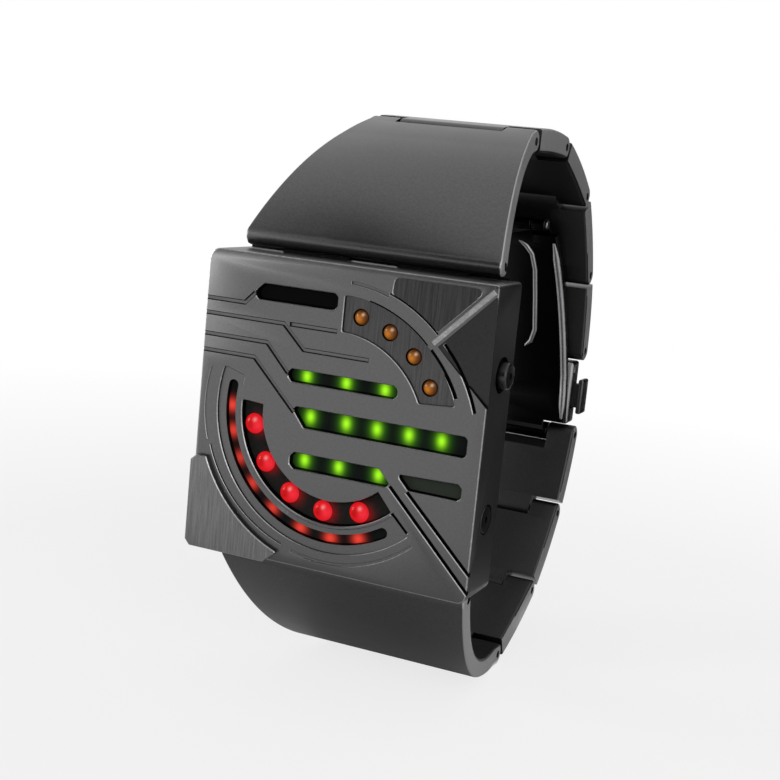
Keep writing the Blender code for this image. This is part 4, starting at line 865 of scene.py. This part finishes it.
def smoked_lens():
    graph = Finish("smoked_lens")
    cores = spots(graph, GREEN_PLACES, 0.58, tall=1.35)
    halos = spots(graph, GREEN_PLACES, 1.1, tall=1.3)
    glows = spots(graph, on_circle(RED_GLOW_RADIUS, RED_GLOW_ANGLES), 0.85, shares=RED_GLOW_SHARES)
    green = graph.mix(1.0, graph.mix(cores, BLACK, GREEN_CORE), graph.mix(halos, BLACK, GREEN_HALO), "ADD")
    lit = graph.mix(1.0, green, graph.mix(glows, BLACK, RED_CORE), "ADD")
    cloud = graph.noise(0.5)
    base = graph.mix(cloud, (0.004, 0.005, 0.005), (0.010, 0.013, 0.012))
    base = graph.mix((graph.x > LOW_WINDOW_LEFT) * (graph.z < LOW_WINDOW_TOP), base, (0.034, 0.040, 0.031))
    base = graph.mix(graph.z > TOP_WINDOW_LOW, base, grey(0.003))
    return graph.finish(Base_Color=base, Roughness=0.14 + 0.08 * cloud, Specular_IOR_Level=0.02,
                        Emission_Color=lit, Emission_Strength=1.0)


dress(smoked_lens(), "light_filter", "red_glow_arc")

# The red lamps: five clear red domes on a black band in the inner curved slot, lit from behind, with a
# darker core at the lower left of each and a glow that spills over the band on the right. A small
# pale glint near the top of each dome is a painted highlight.
RED_LAMPS = on_circle(0.602 * DIAL_UNIT, (191.0, 216.0, 241.0, 266.0, 291.0))
RED_FIT = 0.15
RED_BAND_CORNER = 0.5
RED_BAND_EDGE = 0.05
LAMP_BACK = -6.75
RED_DOME = 1.36
RED_FLOOR = -9.3
RED_TIP = -10.05
TIP_SHARE = 0.62


def dome(bm, place, radius, base, tip, steps=8, sides=32):
    """A turned lamp: a straight body under a round tip."""
    profile = [(base, radius)]
    shoulder = tip + radius * TIP_SHARE
    for step in range(steps):
        turn = math.radians(90.0 * step / steps)
        profile.append((shoulder + (tip - shoulder) * math.sin(turn), radius * math.cos(turn)))
    verts = [bm.verts.new((place[0] + reach, along, place[1])) for along, reach in profile]
    verts.append(bm.verts.new((place[0], tip, place[1])))
    edges = [bm.edges.new(pair) for pair in zip(verts, verts[1:])]
    bmesh.ops.spin(bm, geom=verts + edges, cent=(place[0], 0.0, place[1]), axis=(0.0, 1.0, 0.0),
                   angle=math.tau, steps=sides, use_merge=True)
    bmesh.ops.remove_doubles(bm, verts=bm.verts, dist=0.0005)


def place_domes(colour, places, shape, material):
    bm = bmesh.new()
    for place in places:
        dome(bm, place, *shape)
    lamps = piece_of(colour + "_lamps", bm)
    place_piece(lamps, "case", [colour + "_led_arc"], [material], smooth=60.0)


def red_glass():
    graph = Finish("red_glass")
    cores = spots(graph, RED_LAMPS, 0.62, shift=(-0.32, -0.08))
    # Painted highlights: a small pale glint near the top of each dome.
    painted_glints = spots(graph, RED_LAMPS, 0.26, shift=(0.28, 0.62))
    wide = spots(graph, RED_LAMPS, 0.7, shift=(0.75, -0.1))
    cloud = graph.noise(1.8)
    lit = graph.mix((cores * 1.3).clamped(), (0.74, 0.010, 0.016), (0.34, 0.0, 0.0))
    lit = graph.mix(wide * 0.8, lit, (0.98, 0.04, 0.07))
    lit = graph.mix(painted_glints * 0.75, lit, (1.0, 0.45, 0.45))
    lit = graph.mix(cloud * 0.35, lit, (0.45, 0.0, 0.004))
    return graph.finish(Base_Color=(0.25, 0.004, 0.004), Roughness=0.12 + 0.1 * cloud,
                        Specular_IOR_Level=0.06, Emission_Color=lit, Emission_Strength=0.85)


def red_band():
    graph = Finish("red_band")
    cloud = graph.noise(2.0)
    glow = graph.mix(spots(graph, RED_LAMPS, 1.05, shift=(0.8, -0.1)), BLACK, (0.26, 0.0, 0.001))
    base = graph.mix(cloud, grey(0.008), (0.018, 0.019, 0.017))
    return graph.finish(Base_Color=base, Roughness=0.2 + 0.15 * cloud, Specular_IOR_Level=0.03,
                        Emission_Color=glow, Emission_Strength=1.0)


def build_red_lamps():
    slot = softened(grown(curved_slot(RED_INNER_RADII, RED_INNER_ANGLES), -RED_FIT), RED_BAND_CORNER)
    bm = stack(bmesh.new(), [level(grown(slot, -RED_BAND_EDGE), RED_FLOOR),
                             level(slot, RED_FLOOR + RED_BAND_EDGE), level(slot, LAMP_BACK)])
    place_piece(piece_of("red_lamp_band", bm), "case", ["red_led_arc"], [red_band()])
    place_domes("red", RED_LAMPS, (RED_DOME, RED_FLOOR + 2 * RED_BAND_EDGE, RED_TIP), red_glass())


build_red_lamps()

# The amber lamps: four small unlit domes of amber resin in drilled holes of the brushed band. Their
# colour and glow are painted light and shade: dark brown for the shade of their holes, a painted orange
# glow at the lower left, where the light would come through, and a painted glint at the upper right.
AMBER_DOME = 0.98
AMBER_BASE = -9.2
AMBER_TIP = -9.88
CARRIER_RADIUS = 0.693 * DIAL_UNIT
CARRIER_HALF = 0.7
CARRIER_FRONT = -7.45
LEG_RADIUS = 0.9
LEG_FIT = 0.05


def amber_resin():
    graph = Finish("amber_resin")
    # The bright spot is a painted glow at the lower left, the glints are painted highlights, and the dark
    # brown is a painted shade.
    bright = spots(graph, AMBER_LAMPS, 0.62, shift=(-0.22, -0.2))
    painted_glints = spots(graph, AMBER_LAMPS, 0.2, shift=(0.3, 0.38))
    cloud = graph.noise(2.5)
    body = graph.mix(bright, (0.07, 0.018, 0.002), (0.42, 0.14, 0.015))
    body = graph.mix(cloud * 0.3, body, (0.05, 0.014, 0.002))
    lit = graph.mix(bright, (0.012, 0.002, 0.0), (0.30, 0.10, 0.008))
    lit = graph.mix(painted_glints, lit, (0.75, 0.55, 0.35))
    return graph.finish(Base_Color=body, Roughness=0.1 + 0.1 * cloud, Specular_IOR_Level=0.15,
                        Emission_Color=lit, Emission_Strength=0.7)


def build_amber_lamps():
    place_domes("amber", AMBER_LAMPS, (AMBER_DOME, AMBER_BASE, AMBER_TIP), amber_resin())
    bm = bmesh.new()
    for x, z in AMBER_LAMPS:
        rounded_rod(bm, (x, AMBER_BASE + 0.02, z), (x, CARRIER_FRONT - LEG_FIT, z), LEG_RADIUS, sides=24)
    radii = (CARRIER_RADIUS - CARRIER_HALF, CARRIER_RADIUS + CARRIER_HALF)
    outline = curved_slot(radii, (AMBER_LAMP_ANGLES[-1], AMBER_LAMP_ANGLES[0]))
    stack(bm, [level(outline, CARRIER_FRONT), level(outline, LAMP_BACK)])
    place_piece(piece_of("amber_carrier", bm), "case", ["amber_led_arc"], [BOARD])


build_amber_lamps()

# The push-pieces in the right wall: turned steel heads on thin stems. The upper one stands out of a round
# pocket, the lower one lies flush, and each has a small dimple in its face.
HEAD_LIFT = 0.7
DIMPLE_DEPTH = 0.25
DIMPLE_RADIUS = 0.45
STEM_START = 17.0
STEM_LIFT = 0.9
STEM_RADIUS = 0.6
BUTTON = gunmetal("button_black", tone=0.05, roughness=0.3)


def build_button(name, radius, outer, z, edge):
    def rod(start, end, *shape, **sides):
        return rounded_rod(bmesh.new(), (start, BUTTON_Y, z), (end, BUTTON_Y, z), *shape, **sides)

    button = piece_of(name + "_head", rod(POCKET_FLOOR + HEAD_LIFT, outer, radius, edge))
    carve(button, rod(outer - DIMPLE_DEPTH, outer + CLEAR, DIMPLE_RADIUS, sides=24))
    carve(button, rod(STEM_START, POCKET_FLOOR + STEM_LIFT, STEM_RADIUS, sides=24), "UNION")
    place_piece(button, name, [name], [BUTTON])


build_button("upper_button", 1.7, 21.1, UPPER_BUTTON_Z, 0.35)
build_button("lower_button", 1.75, 20.0, LOWER_BUTTON_Z, 0.12)

# The hinge pins of the bracelet and the clasp: ground steel rods, pressed in from the side. They stop
# just inside the links' edges, so only their round ends show.
dress(PIN_STEEL, "upper_lug_pin", "lower_lug_pin", *["pin_" + letter for letter in "abcdefg"])
dress(PIN_STEEL, "pin_latch", "pin_blade", "pin_fold", "clasp_spring_bar")

# The bracelet's two shells: broad curved steel pieces that taper away from the case. Their outside is
# satin with soft edges, the end at the case is rolled round, and pockets on the inside take the lugs.
STRAP_WIDE = 36.0
STRAP_NARROW = 25.0
STRAP_EDGE = 0.35
LINK_HALF = 1.6
SHELL_HALF = 1.35
SHELL_END_HALF = 1.4
SHELL_STEPS = 48
FADE = 4.0
TAPER_END = 1 - 1 / 24
CAP_STEPS = 8
CAP_DEGREES = 84.0
CAP_DRAW = 0.12
HINGE_GAP = 0.35
TONGUE_HALF = 7.8
EAR_HALF = 8.1
LOOP_MIDDLE = Vector((30.0, 0.0))
LUG_FIT = 0.3
LUG_BORE = 1.3
NECK_FIT = 0.15
NECK_ROOM = (0.9, 1.27)
ROLL_SHIFT = (-0.6, 0.1)
INWARD_FACING = -0.25
SIDE_FACING = 0.6
SIDE_BAND = 1.0


def outward(direction, place):
    normal = Vector((-direction.y, direction.x))
    return normal if normal.dot(place - LOOP_MIDDLE) > 0 else -normal


def section(place, normal, outer, inner, half_width, edge):
    """A rounded rectangle across the strap."""
    edge = min(edge, outer * 0.9, inner * 0.9)
    points = []
    for hand, side, start in ((1, 1, 0.0), (-1, 1, 90.0), (-1, -1, 180.0), (1, -1, 270.0)):
        reach = outer if side > 0 else inner
        for step in range(4):
            turn = math.radians(start + 30.0 * step)
            x = hand * (half_width - edge) + edge * math.cos(turn)
            across = side * (reach - edge) + edge * math.sin(turn)
            points.append(Vector((x, place.x + normal.x * across, place.y + normal.y * across)))
    return points


def sweep(stations, edge=STRAP_EDGE):
    """A bar through stations, each (middle, normal, outer half, inner half, half width)."""
    return stack(bmesh.new(), [section(*station, edge) for station in stations])


def end_cap(place, ahead, normal, radius, half_width):
    cap = []
    for step in range(CAP_STEPS):
        turn = math.radians(CAP_DEGREES * (CAP_STEPS - step) / CAP_STEPS)
        cap.append((place + ahead * radius * math.sin(turn), normal, radius * math.cos(turn),
                    radius * math.cos(turn), half_width - radius * (1 - math.cos(turn)) * CAP_DRAW))
    return cap


def prism(bm, place, ahead, normal, corners, low, high):
    """A cutter whose outline is in a link's own frame, between two places across the strap."""
    outline = [place + ahead * a + normal * b for a, b in corners]
    return stack(bm, [[Vector((x, *point)) for point in outline] for x in (low, high)])


def wedge(bm, place, ahead, normal, along, across, low, high):
    corners = [(along[a], across[b]) for a, b in ((0, 0), (1, 0), (1, 1), (0, 1))]
    return prism(bm, place, ahead, normal, corners, low, high)


def ear_cut(bm, pin, ahead, normal):
    half = STRAP_NARROW / 2
    return wedge(bm, pin, ahead, normal, (-LINK_HALF - HINGE_GAP, half), (-half, half), -EAR_HALF, EAR_HALF)


def tongue_cuts(bm, pin, ahead, normal):
    half = STRAP_NARROW / 2
    for low, high in ((TONGUE_HALF, STRAP_WIDE), (-STRAP_WIDE, -TONGUE_HALF)):
        wedge(bm, pin, ahead, normal, (-half, LINK_HALF + HINGE_GAP), (-half, half), low, high)
    return bm


def bores(*pins):
    bm = bmesh.new()
    for pin in pins:
        rounded_rod(bm, (-STRAP_WIDE, pin.x, pin.y), (STRAP_WIDE, pin.x, pin.y), PIN_RADIUS, sides=24)
    return bm


def strap_painted_light(obj):
    """Gives the faces that look into the loop a dark painted shade, and the side edges a paler painted
    highlight.
    """
    for face in obj.data.polygons:
        place = Vector((face.center.y, face.center.z))
        away = (place - LOOP_MIDDLE).normalized()
        if face.normal.y * away.x + face.normal.z * away.y < INWARD_FACING:
            face.material_index = 1
        elif abs(face.normal.x) > SIDE_FACING and abs(face.center.x) > STRAP_NARROW / 2 - SIDE_BAND:
            face.material_index = 2


def build_shell(name, side, end, bow, lug):
    start = lug + Vector((ROLL_SHIFT[0], side * ROLL_SHIFT[1]))
    across = outward((end - start).normalized(), (start + end) / 2)
    places = []
    for step in range(SHELL_STEPS + 1):
        share = step / SHELL_STEPS
        places.append(start.lerp(end, share) + across * bow * 4 * share * (1 - share))
    stations = []
    for step, place in enumerate(places):
        share = step / SHELL_STEPS
        ahead = (places[min(SHELL_STEPS, step + 1)] - places[max(0, step - 1)]).normalized()
        normal = outward(ahead, place)
        first = max(0.0, 1 - share * FADE)
        last = max(0.0, 1 - (1 - share) * FADE)
        half = SHELL_HALF + (SHELL_END_HALF - SHELL_HALF) * first + (LINK_HALF - SHELL_HALF) * last
        wide = STRAP_WIDE + (STRAP_NARROW - STRAP_WIDE) * min(1.0, share / TAPER_END)
        if step == 0:
            stations += end_cap(place, -ahead, normal, half, wide / 2)
        stations.append((place, normal, half, half, wide / 2))
    stations += end_cap(end, ahead, normal, LINK_HALF, STRAP_NARROW / 2)[::-1]
    shell = piece_of(name + "_steel", sweep(stations))
    carve(shell, ear_cut(bmesh.new(), end, ahead, normal))
    carve(shell, bores(end, lug))
    rods = bmesh.new()
    boxes = bmesh.new()
    for hand in (1, -1):
        low, high = hand * LUG_PLACE - LUG_HALF - LUG_FIT, hand * LUG_PLACE + LUG_HALF + LUG_FIT
        rounded_rod(rods, (low, lug.x, lug.y), (high, lug.x, lug.y), LUG_BORE)
        foot = side * (DIAL_UNIT - CLEAR)
        slab(boxes, (low + NECK_FIT, lug.x - NECK_ROOM[0], min(foot, lug.y)),
             (high - NECK_FIT, lug.x + NECK_ROOM[1], max(foot, lug.y)))
    carve(shell, rods)
    carve(shell, boxes)
    strap_painted_light(shell)
    place_piece(shell, name, [name], STRAP_FINISHES_WITH_PAINTED_LIGHT)


STRAP = gunmetal("strap_satin", tone=0.1, roughness=0.34, brushing=0.25)
# The inside tone is a painted shade for the faces inside the loop.
INSIDE_PAINTED_SHADE = gunmetal("strap_inside_painted_shade", tone=0.06, roughness=0.42)
# The pale side tone is a painted highlight on the side edges.
STRAP_PAINTED_HIGHLIGHT = gunmetal("strap_painted_highlight", tone=0.45, roughness=0.6)
STRAP_FINISHES_WITH_PAINTED_LIGHT = [STRAP, INSIDE_PAINTED_SHADE, STRAP_PAINTED_HIGHLIGHT]
UPPER_PINS = [pin_place("pin_" + letter) for letter in "abcd"]
LOWER_PINS = [pin_place("pin_" + letter) for letter in "gfe"]
LATCH_PIN = pin_place("pin_latch")
BASE_PIN = pin_place("clasp_spring_bar")
build_shell("upper_shell", 1, UPPER_PINS[0], 2.5, pin_place("upper_lug_pin"))
build_shell("lower_shell", -1, LOWER_PINS[0], 5.0, pin_place("lower_lug_pin"))

# The seven links: solid steel with a slight crown outside and a slight hollow inside. Each has a tongue at
# one end and two ears at the other, and turns on its pin in the next link's ears.
LINK_CROWN = 0.55
LINK_HOLLOW = 0.3
LINK_STEPS = 12
OPEN_SLOT_FALL = 2.3
OPEN_SLOT_LIP = -0.4
OPEN_SLOT_SLOPE = 0.66


def build_link(name, start, end, slot=False):
    ahead = (end - start).normalized()
    normal = outward(ahead, (start + end) / 2)
    half = STRAP_NARROW / 2
    stations = end_cap(start, -ahead, normal, LINK_HALF, half)
    for step in range(LINK_STEPS + 1):
        share = step / LINK_STEPS
        swell = 4 * share * (1 - share)
        stations.append((start.lerp(end, share), normal, LINK_HALF + LINK_CROWN * swell,
                         LINK_HALF - LINK_HOLLOW * swell, half))
    stations += end_cap(end, ahead, normal, LINK_HALF, half)[::-1]
    link = piece_of(name + "_steel", sweep(stations))
    tool = tongue_cuts(bmesh.new(), start, ahead, normal)
    if slot:
        deep = LINK_HALF * 2
        foot = -LINK_HALF - HINGE_GAP - OPEN_SLOT_FALL
        corners = [(-LINK_HALF, deep), (-LINK_HALF, OPEN_SLOT_LIP), (foot + OPEN_SLOT_SLOPE, -LINK_HALF),
                   (foot, -deep), (deep, -deep), (deep, deep)]
        prism(tool, end, ahead, normal, corners, -EAR_HALF, EAR_HALF)
    else:
        ear_cut(tool, end, ahead, normal)
    carve(link, tool)
    carve(link, bores(start, end))
    strap_painted_light(link)
    place_piece(link, name, [name], STRAP_FINISHES_WITH_PAINTED_LIGHT)


for letter, first, last in zip("abcd", UPPER_PINS, UPPER_PINS[1:] + [LATCH_PIN]):
    build_link("link_" + letter, first, last)
for letter, first, last in zip("gfe", LOWER_PINS, LOWER_PINS[1:] + [BASE_PIN]):
    build_link("link_" + letter, first, last, slot=letter == "e")

# The clasp's outer block: a hollow steel latch that hangs from the last upper link. A spring-loaded
# release stands out of each side, and its stem reaches in to the stud of the base plate.
LATCH_EDGE = 0.45
LATCH_COVER = 1.4
LATCH_WALL = 1.0
LATCH_HOLLOW_HALF = 7.3
BRIDGE_INSET = 0.02
BRIDGE_SINK = 0.05
STEM_ROOM = 0.9
STEM_ROOM_ENDS = (-5.3, -0.7)
RELEASE_HEAD = ((12.4, 13.3), 1.6, (-5.9, -0.1), 0.3)
RELEASE_STEM = ((2.5, 12.7), 0.6, (-5.0, -1.0), 0.0)
BLADE_PIN = pin_place("pin_blade")


def cross_rod(pin, half, radius, edge=0.0):
    """A rod across the strap, about a pin's middle line."""
    return rounded_rod(bmesh.new(), (-half, *pin), (half, *pin), radius, edge)


def release_part(hand, centre, across, half, ends, edge):
    inner, outer = sorted((hand * across[0], hand * across[1]))
    return slab(bmesh.new(), (inner, centre - half, ends[0]), (outer, centre + half, ends[1]), edge)


def build_latch():
    low, high = reach_mm("latch_body")
    pin = LATCH_PIN
    half = high.x
    top = pin.y - LINK_HALF - HINGE_GAP
    latch = piece_of("latch_steel", slab(bmesh.new(), (-half, low.y, low.z), (half, high.y, top), LATCH_EDGE))
    cover = high.y - LATCH_COVER
    carve(latch, cross_rod(pin, TONGUE_HALF, LINK_HALF), "UNION")
    reach = TONGUE_HALF - BRIDGE_INSET
    bridge = slab(bmesh.new(), (-reach, cover, top - CLEAR), (reach, pin.x + LINK_HALF - BRIDGE_SINK, pin.y))
    carve(latch, bridge, "UNION")
    hollow = slab(bmesh.new(), (-LATCH_HOLLOW_HALF, low.y - CLEAR, low.z + LATCH_WALL),
                  (LATCH_HOLLOW_HALF, cover, pin.y - LINK_HALF - LUG_FIT))
    carve(latch, hollow)
    centre = (low.y + high.y) / 2
    room = slab(bmesh.new(), (-STRAP_WIDE, centre - STEM_ROOM, STEM_ROOM_ENDS[0]),
                (STRAP_WIDE, centre + STEM_ROOM, STEM_ROOM_ENDS[1]))
    carve(latch, room)
    carve(latch, bores(pin, BLADE_PIN))
    strap_painted_light(latch)
    # The latch's inward faces and sides get the pale painted highlight.
    place_piece(latch, "latch", ["latch_body"], [STRAP, STRAP_PAINTED_HIGHLIGHT, STRAP_PAINTED_HIGHLIGHT])
    for name, hand in (("right_release", 1), ("left_release", -1)):
        release = piece_of(name + "_steel", release_part(hand, centre, *RELEASE_HEAD))
        carve(release, release_part(hand, centre, *RELEASE_STEM), "UNION")
        place_piece(release, name, [name], [STRAP])


build_latch()

# The folding clasp inside the loop: a curved blade hinged to the latch, and a long tapered base plate hinged
# to the blade's top and to the last lower link. Both are polished steel in a near-black tone that paints the
# shade inside the loop. The base plate has a rolled bead pressed into its inner face, and a rolled rim near
# each edge, in a pale tone that paints the light they catch.
CLASP_HALF = 0.5
CLASP_SPLIT = 0.36
PIVOT = pin_place("pin_fold")
CLASP_STEPS = 10
TOP_KNUCKLE = 1.1
BEAD_RADIUS = 0.42
RIM_RADIUS = 0.6
BEAD_POINTS = [(2.2, 22.2), (3.4, 21.4), (4.3, 20.2), (4.75, 17.6),
               (4.8, 12.6), (4.9, 7.6), (4.3, 5.6), (3.3, 4.6)]
# A near-black tone that paints the shade inside the loop.
POLISHED_PAINTED_SHADE = gunmetal("clasp_polished_painted_shade", tone=0.018, roughness=0.22, brushing=0.2)
# A pale tone that paints the light on the beads and the rims.
BEAD_PAINTED_HIGHLIGHT = gunmetal("clasp_bead_painted_highlight", tone=0.32, roughness=0.3, brushing=0.3)
PLATE_WIDE = (17.0, 22.6)
RIM_TOP = 22.3
RIM_LOW = -6.8
RIM_STEPS = 12
BEAD_SIDES = 12
BEAD_UP = (0.0, -1.0, -0.3)
BEAD_FLAT = 0.8
BEAD_TIP = 0.35
KNUCKLE_EDGE = 0.15
PLATE_EDGE = 0.1
BLADE_WIDE = 14.0
BLADE_HALF = 7.0
FOOT_KNUCKLE = 0.95
TOP_SLOT_HALF = 4.9
RIVET_ENDS = (6.9, 7.4)
RIVET_RADIUS = 0.75
RIVET_EDGE = 0.2
PLATE_INSET = 0.75
PLATE_END = -7.5
TOP_TONGUE_WIDE = 9.2
NECK_WIDE = 14.96
NECK_TOP = -3.75
NECK_CORNER = -8.9
BASE_KNUCKLE = 1.5
STUD_HALF = 1.4
STUD_RISE = 2.3
STUD_ENDS = (-4.5, -1.5)


def clasp_path(offset):
    third, fourth = UPPER_PINS[2:]
    upper = (fourth - third).normalized()
    lower = (LATCH_PIN - fourth).normalized()
    drop = LINK_HALF + CLASP_SPLIT + CLASP_HALF
    along = (PIVOT - third).dot(upper) + TOP_KNUCKLE * 2
    start = third + upper * along - outward(upper, third) * drop
    corner = fourth - (outward(upper, third) + outward(lower, fourth)).normalized() * drop
    end = LATCH_PIN - outward(lower, LATCH_PIN) * drop
    path = []
    for step in range(CLASP_STEPS + 1):
        share = step / CLASP_STEPS
        place = bend(start, corner, end, share)
        ahead = ((corner - start) * (1 - share) + (end - corner) * share).normalized()
        normal = outward(ahead, place)
        path.append((place - normal * offset, normal))
    return path


def plate_bar(places, wide, edge=0.2):
    return sweep([(place, normal, CLASP_HALF, CLASP_HALF, width / 2)
                  for (place, normal), width in zip(places, wide)], edge)


def build_blade():
    path = clasp_path(0.0)
    turned = outward((path[0][0] - PIVOT).normalized(), PIVOT)
    low, normal = path[-1]
    places = [(PIVOT, turned)] + path
    places.append(((low + BLADE_PIN) / 2 - normal * CLASP_HALF, normal))
    places.append((BLADE_PIN - normal * CLASP_HALF / 2, normal))
    blade = piece_of("blade_steel", plate_bar(places, [BLADE_WIDE] * len(places)))
    carve(blade, cross_rod(PIVOT, BLADE_HALF, TOP_KNUCKLE, KNUCKLE_EDGE), "UNION")
    carve(blade, cross_rod(BLADE_PIN, BLADE_HALF, FOOT_KNUCKLE, KNUCKLE_EDGE), "UNION")
    down = (path[2][0] - path[0][0]).normalized()
    reach = TOP_KNUCKLE * 2 + HINGE_GAP
    slot = wedge(bmesh.new(), PIVOT, down, outward(down, PIVOT), (-reach, reach), (-reach, reach),
                 -TOP_SLOT_HALF, TOP_SLOT_HALF)
    carve(blade, slot)
    carve(blade, bores(PIVOT, BLADE_PIN))
    place_piece(blade, "blade", ["fold_blade"], [POLISHED_PAINTED_SHADE])
    heads = bmesh.new()
    for hand in (1, -1):
        start, end = [(hand * reach, *PIVOT) for reach in RIVET_ENDS]
        rounded_rod(heads, start, end, RIVET_RADIUS, RIVET_EDGE)
    place_piece(piece_of("blade_rivet", heads), "blade", ["fold_blade"], [PIN_STEEL])


def bead(bm, points, radius, plate_at):
    """A half-round bead on the plate's inner face, through places across it."""
    rings = []
    path = [Vector((x, plate_at(z)[0], z)) for x, z in points]
    up = Vector(BEAD_UP).normalized()
    turns = [math.tau * step / BEAD_SIDES for step in range(BEAD_SIDES)]
    for index, point in enumerate(path):
        ahead = (path[min(index + 1, len(path) - 1)] - path[max(index - 1, 0)]).normalized()
        side = ahead.cross(up).normalized()
        reach = radius * (BEAD_TIP if index in (0, len(path) - 1) else 1.0)
        rings.append([point + (side * math.cos(turn) + up * BEAD_FLAT * math.sin(turn)) * reach
                      for turn in turns])
    return stack(bm, rings)


def build_base():
    path = clasp_path(CLASP_HALF * 2 + CLASP_SPLIT)
    inside = reach_mm("latch_body")[0].y - PLATE_INSET
    back = Vector((1.0, 0.0))
    run = [(Vector((inside, PLATE_END * share)), back) for share in (0.0, 0.5, 1.0)]
    places = path + run
    wide = [PLATE_WIDE[0] + (PLATE_WIDE[1] - PLATE_WIDE[0]) * index / (len(places) - 1)
            for index in range(len(places))]
    base = piece_of("base_steel", plate_bar(places, wide))
    down = (path[1][0] - PIVOT).normalized()
    tongue = [(PIVOT, outward(down, PIVOT)), path[1]]
    carve(base, plate_bar(tongue, [TOP_TONGUE_WIDE] * 2, PLATE_EDGE), "UNION")
    carve(base, cross_rod(PIVOT, TOP_TONGUE_WIDE / 2, TOP_KNUCKLE, PLATE_EDGE), "UNION")
    drop = Vector((inside, NECK_CORNER))
    turned = outward((BASE_PIN - drop).normalized(), BASE_PIN)
    neck = [(Vector((inside, NECK_TOP)), back), (drop, (back + turned).normalized()),
            (drop.lerp(BASE_PIN, 0.7), turned)]
    carve(base, plate_bar(neck, [NECK_WIDE] * len(neck), PLATE_EDGE), "UNION")
    carve(base, cross_rod(BASE_PIN, TONGUE_HALF, BASE_KNUCKLE, KNUCKLE_EDGE), "UNION")
    stud = slab(bmesh.new(), (-STUD_HALF, inside, STUD_ENDS[0]),
                (STUD_HALF, inside + STUD_RISE, STUD_ENDS[1]), KNUCKLE_EDGE)
    carve(base, stud, "UNION")
    carve(base, bores(PIVOT, BASE_PIN))
    place_piece(base, "base", ["clasp_base_plate"], [POLISHED_PAINTED_SHADE])
    faces = [place - normal * CLASP_HALF for place, normal in places]

    def plate_at(z):
        """The depth of the plate's inner face at a height, and its half width there."""
        for index, (before, after) in enumerate(zip(faces, faces[1:])):
            if after.y <= z <= before.y:
                share = (before.y - z) / (before.y - after.y)
                width = wide[index] + (wide[index + 1] - wide[index]) * share
                return before.x + (after.x - before.x) * share, width / 2
        return faces[0].x, wide[0] / 2

    heights = [RIM_TOP + (RIM_LOW - RIM_TOP) * step / RIM_STEPS for step in range(RIM_STEPS + 1)]
    rim = [(plate_at(z)[1] - RIM_RADIUS, z) for z in heights]
    bm = bmesh.new()
    for points, radius in ((BEAD_POINTS, BEAD_RADIUS), (rim, RIM_RADIUS)):
        bead(bm, points, radius, plate_at)
        bead(bm, [(-x, z) for x, z in points], radius, plate_at)
    beads = piece_of("base_bead", bm)
    place_piece(beads, "base", ["clasp_base_plate"], [BEAD_PAINTED_HIGHLIGHT], smooth=60.0)


build_blade()
build_base()
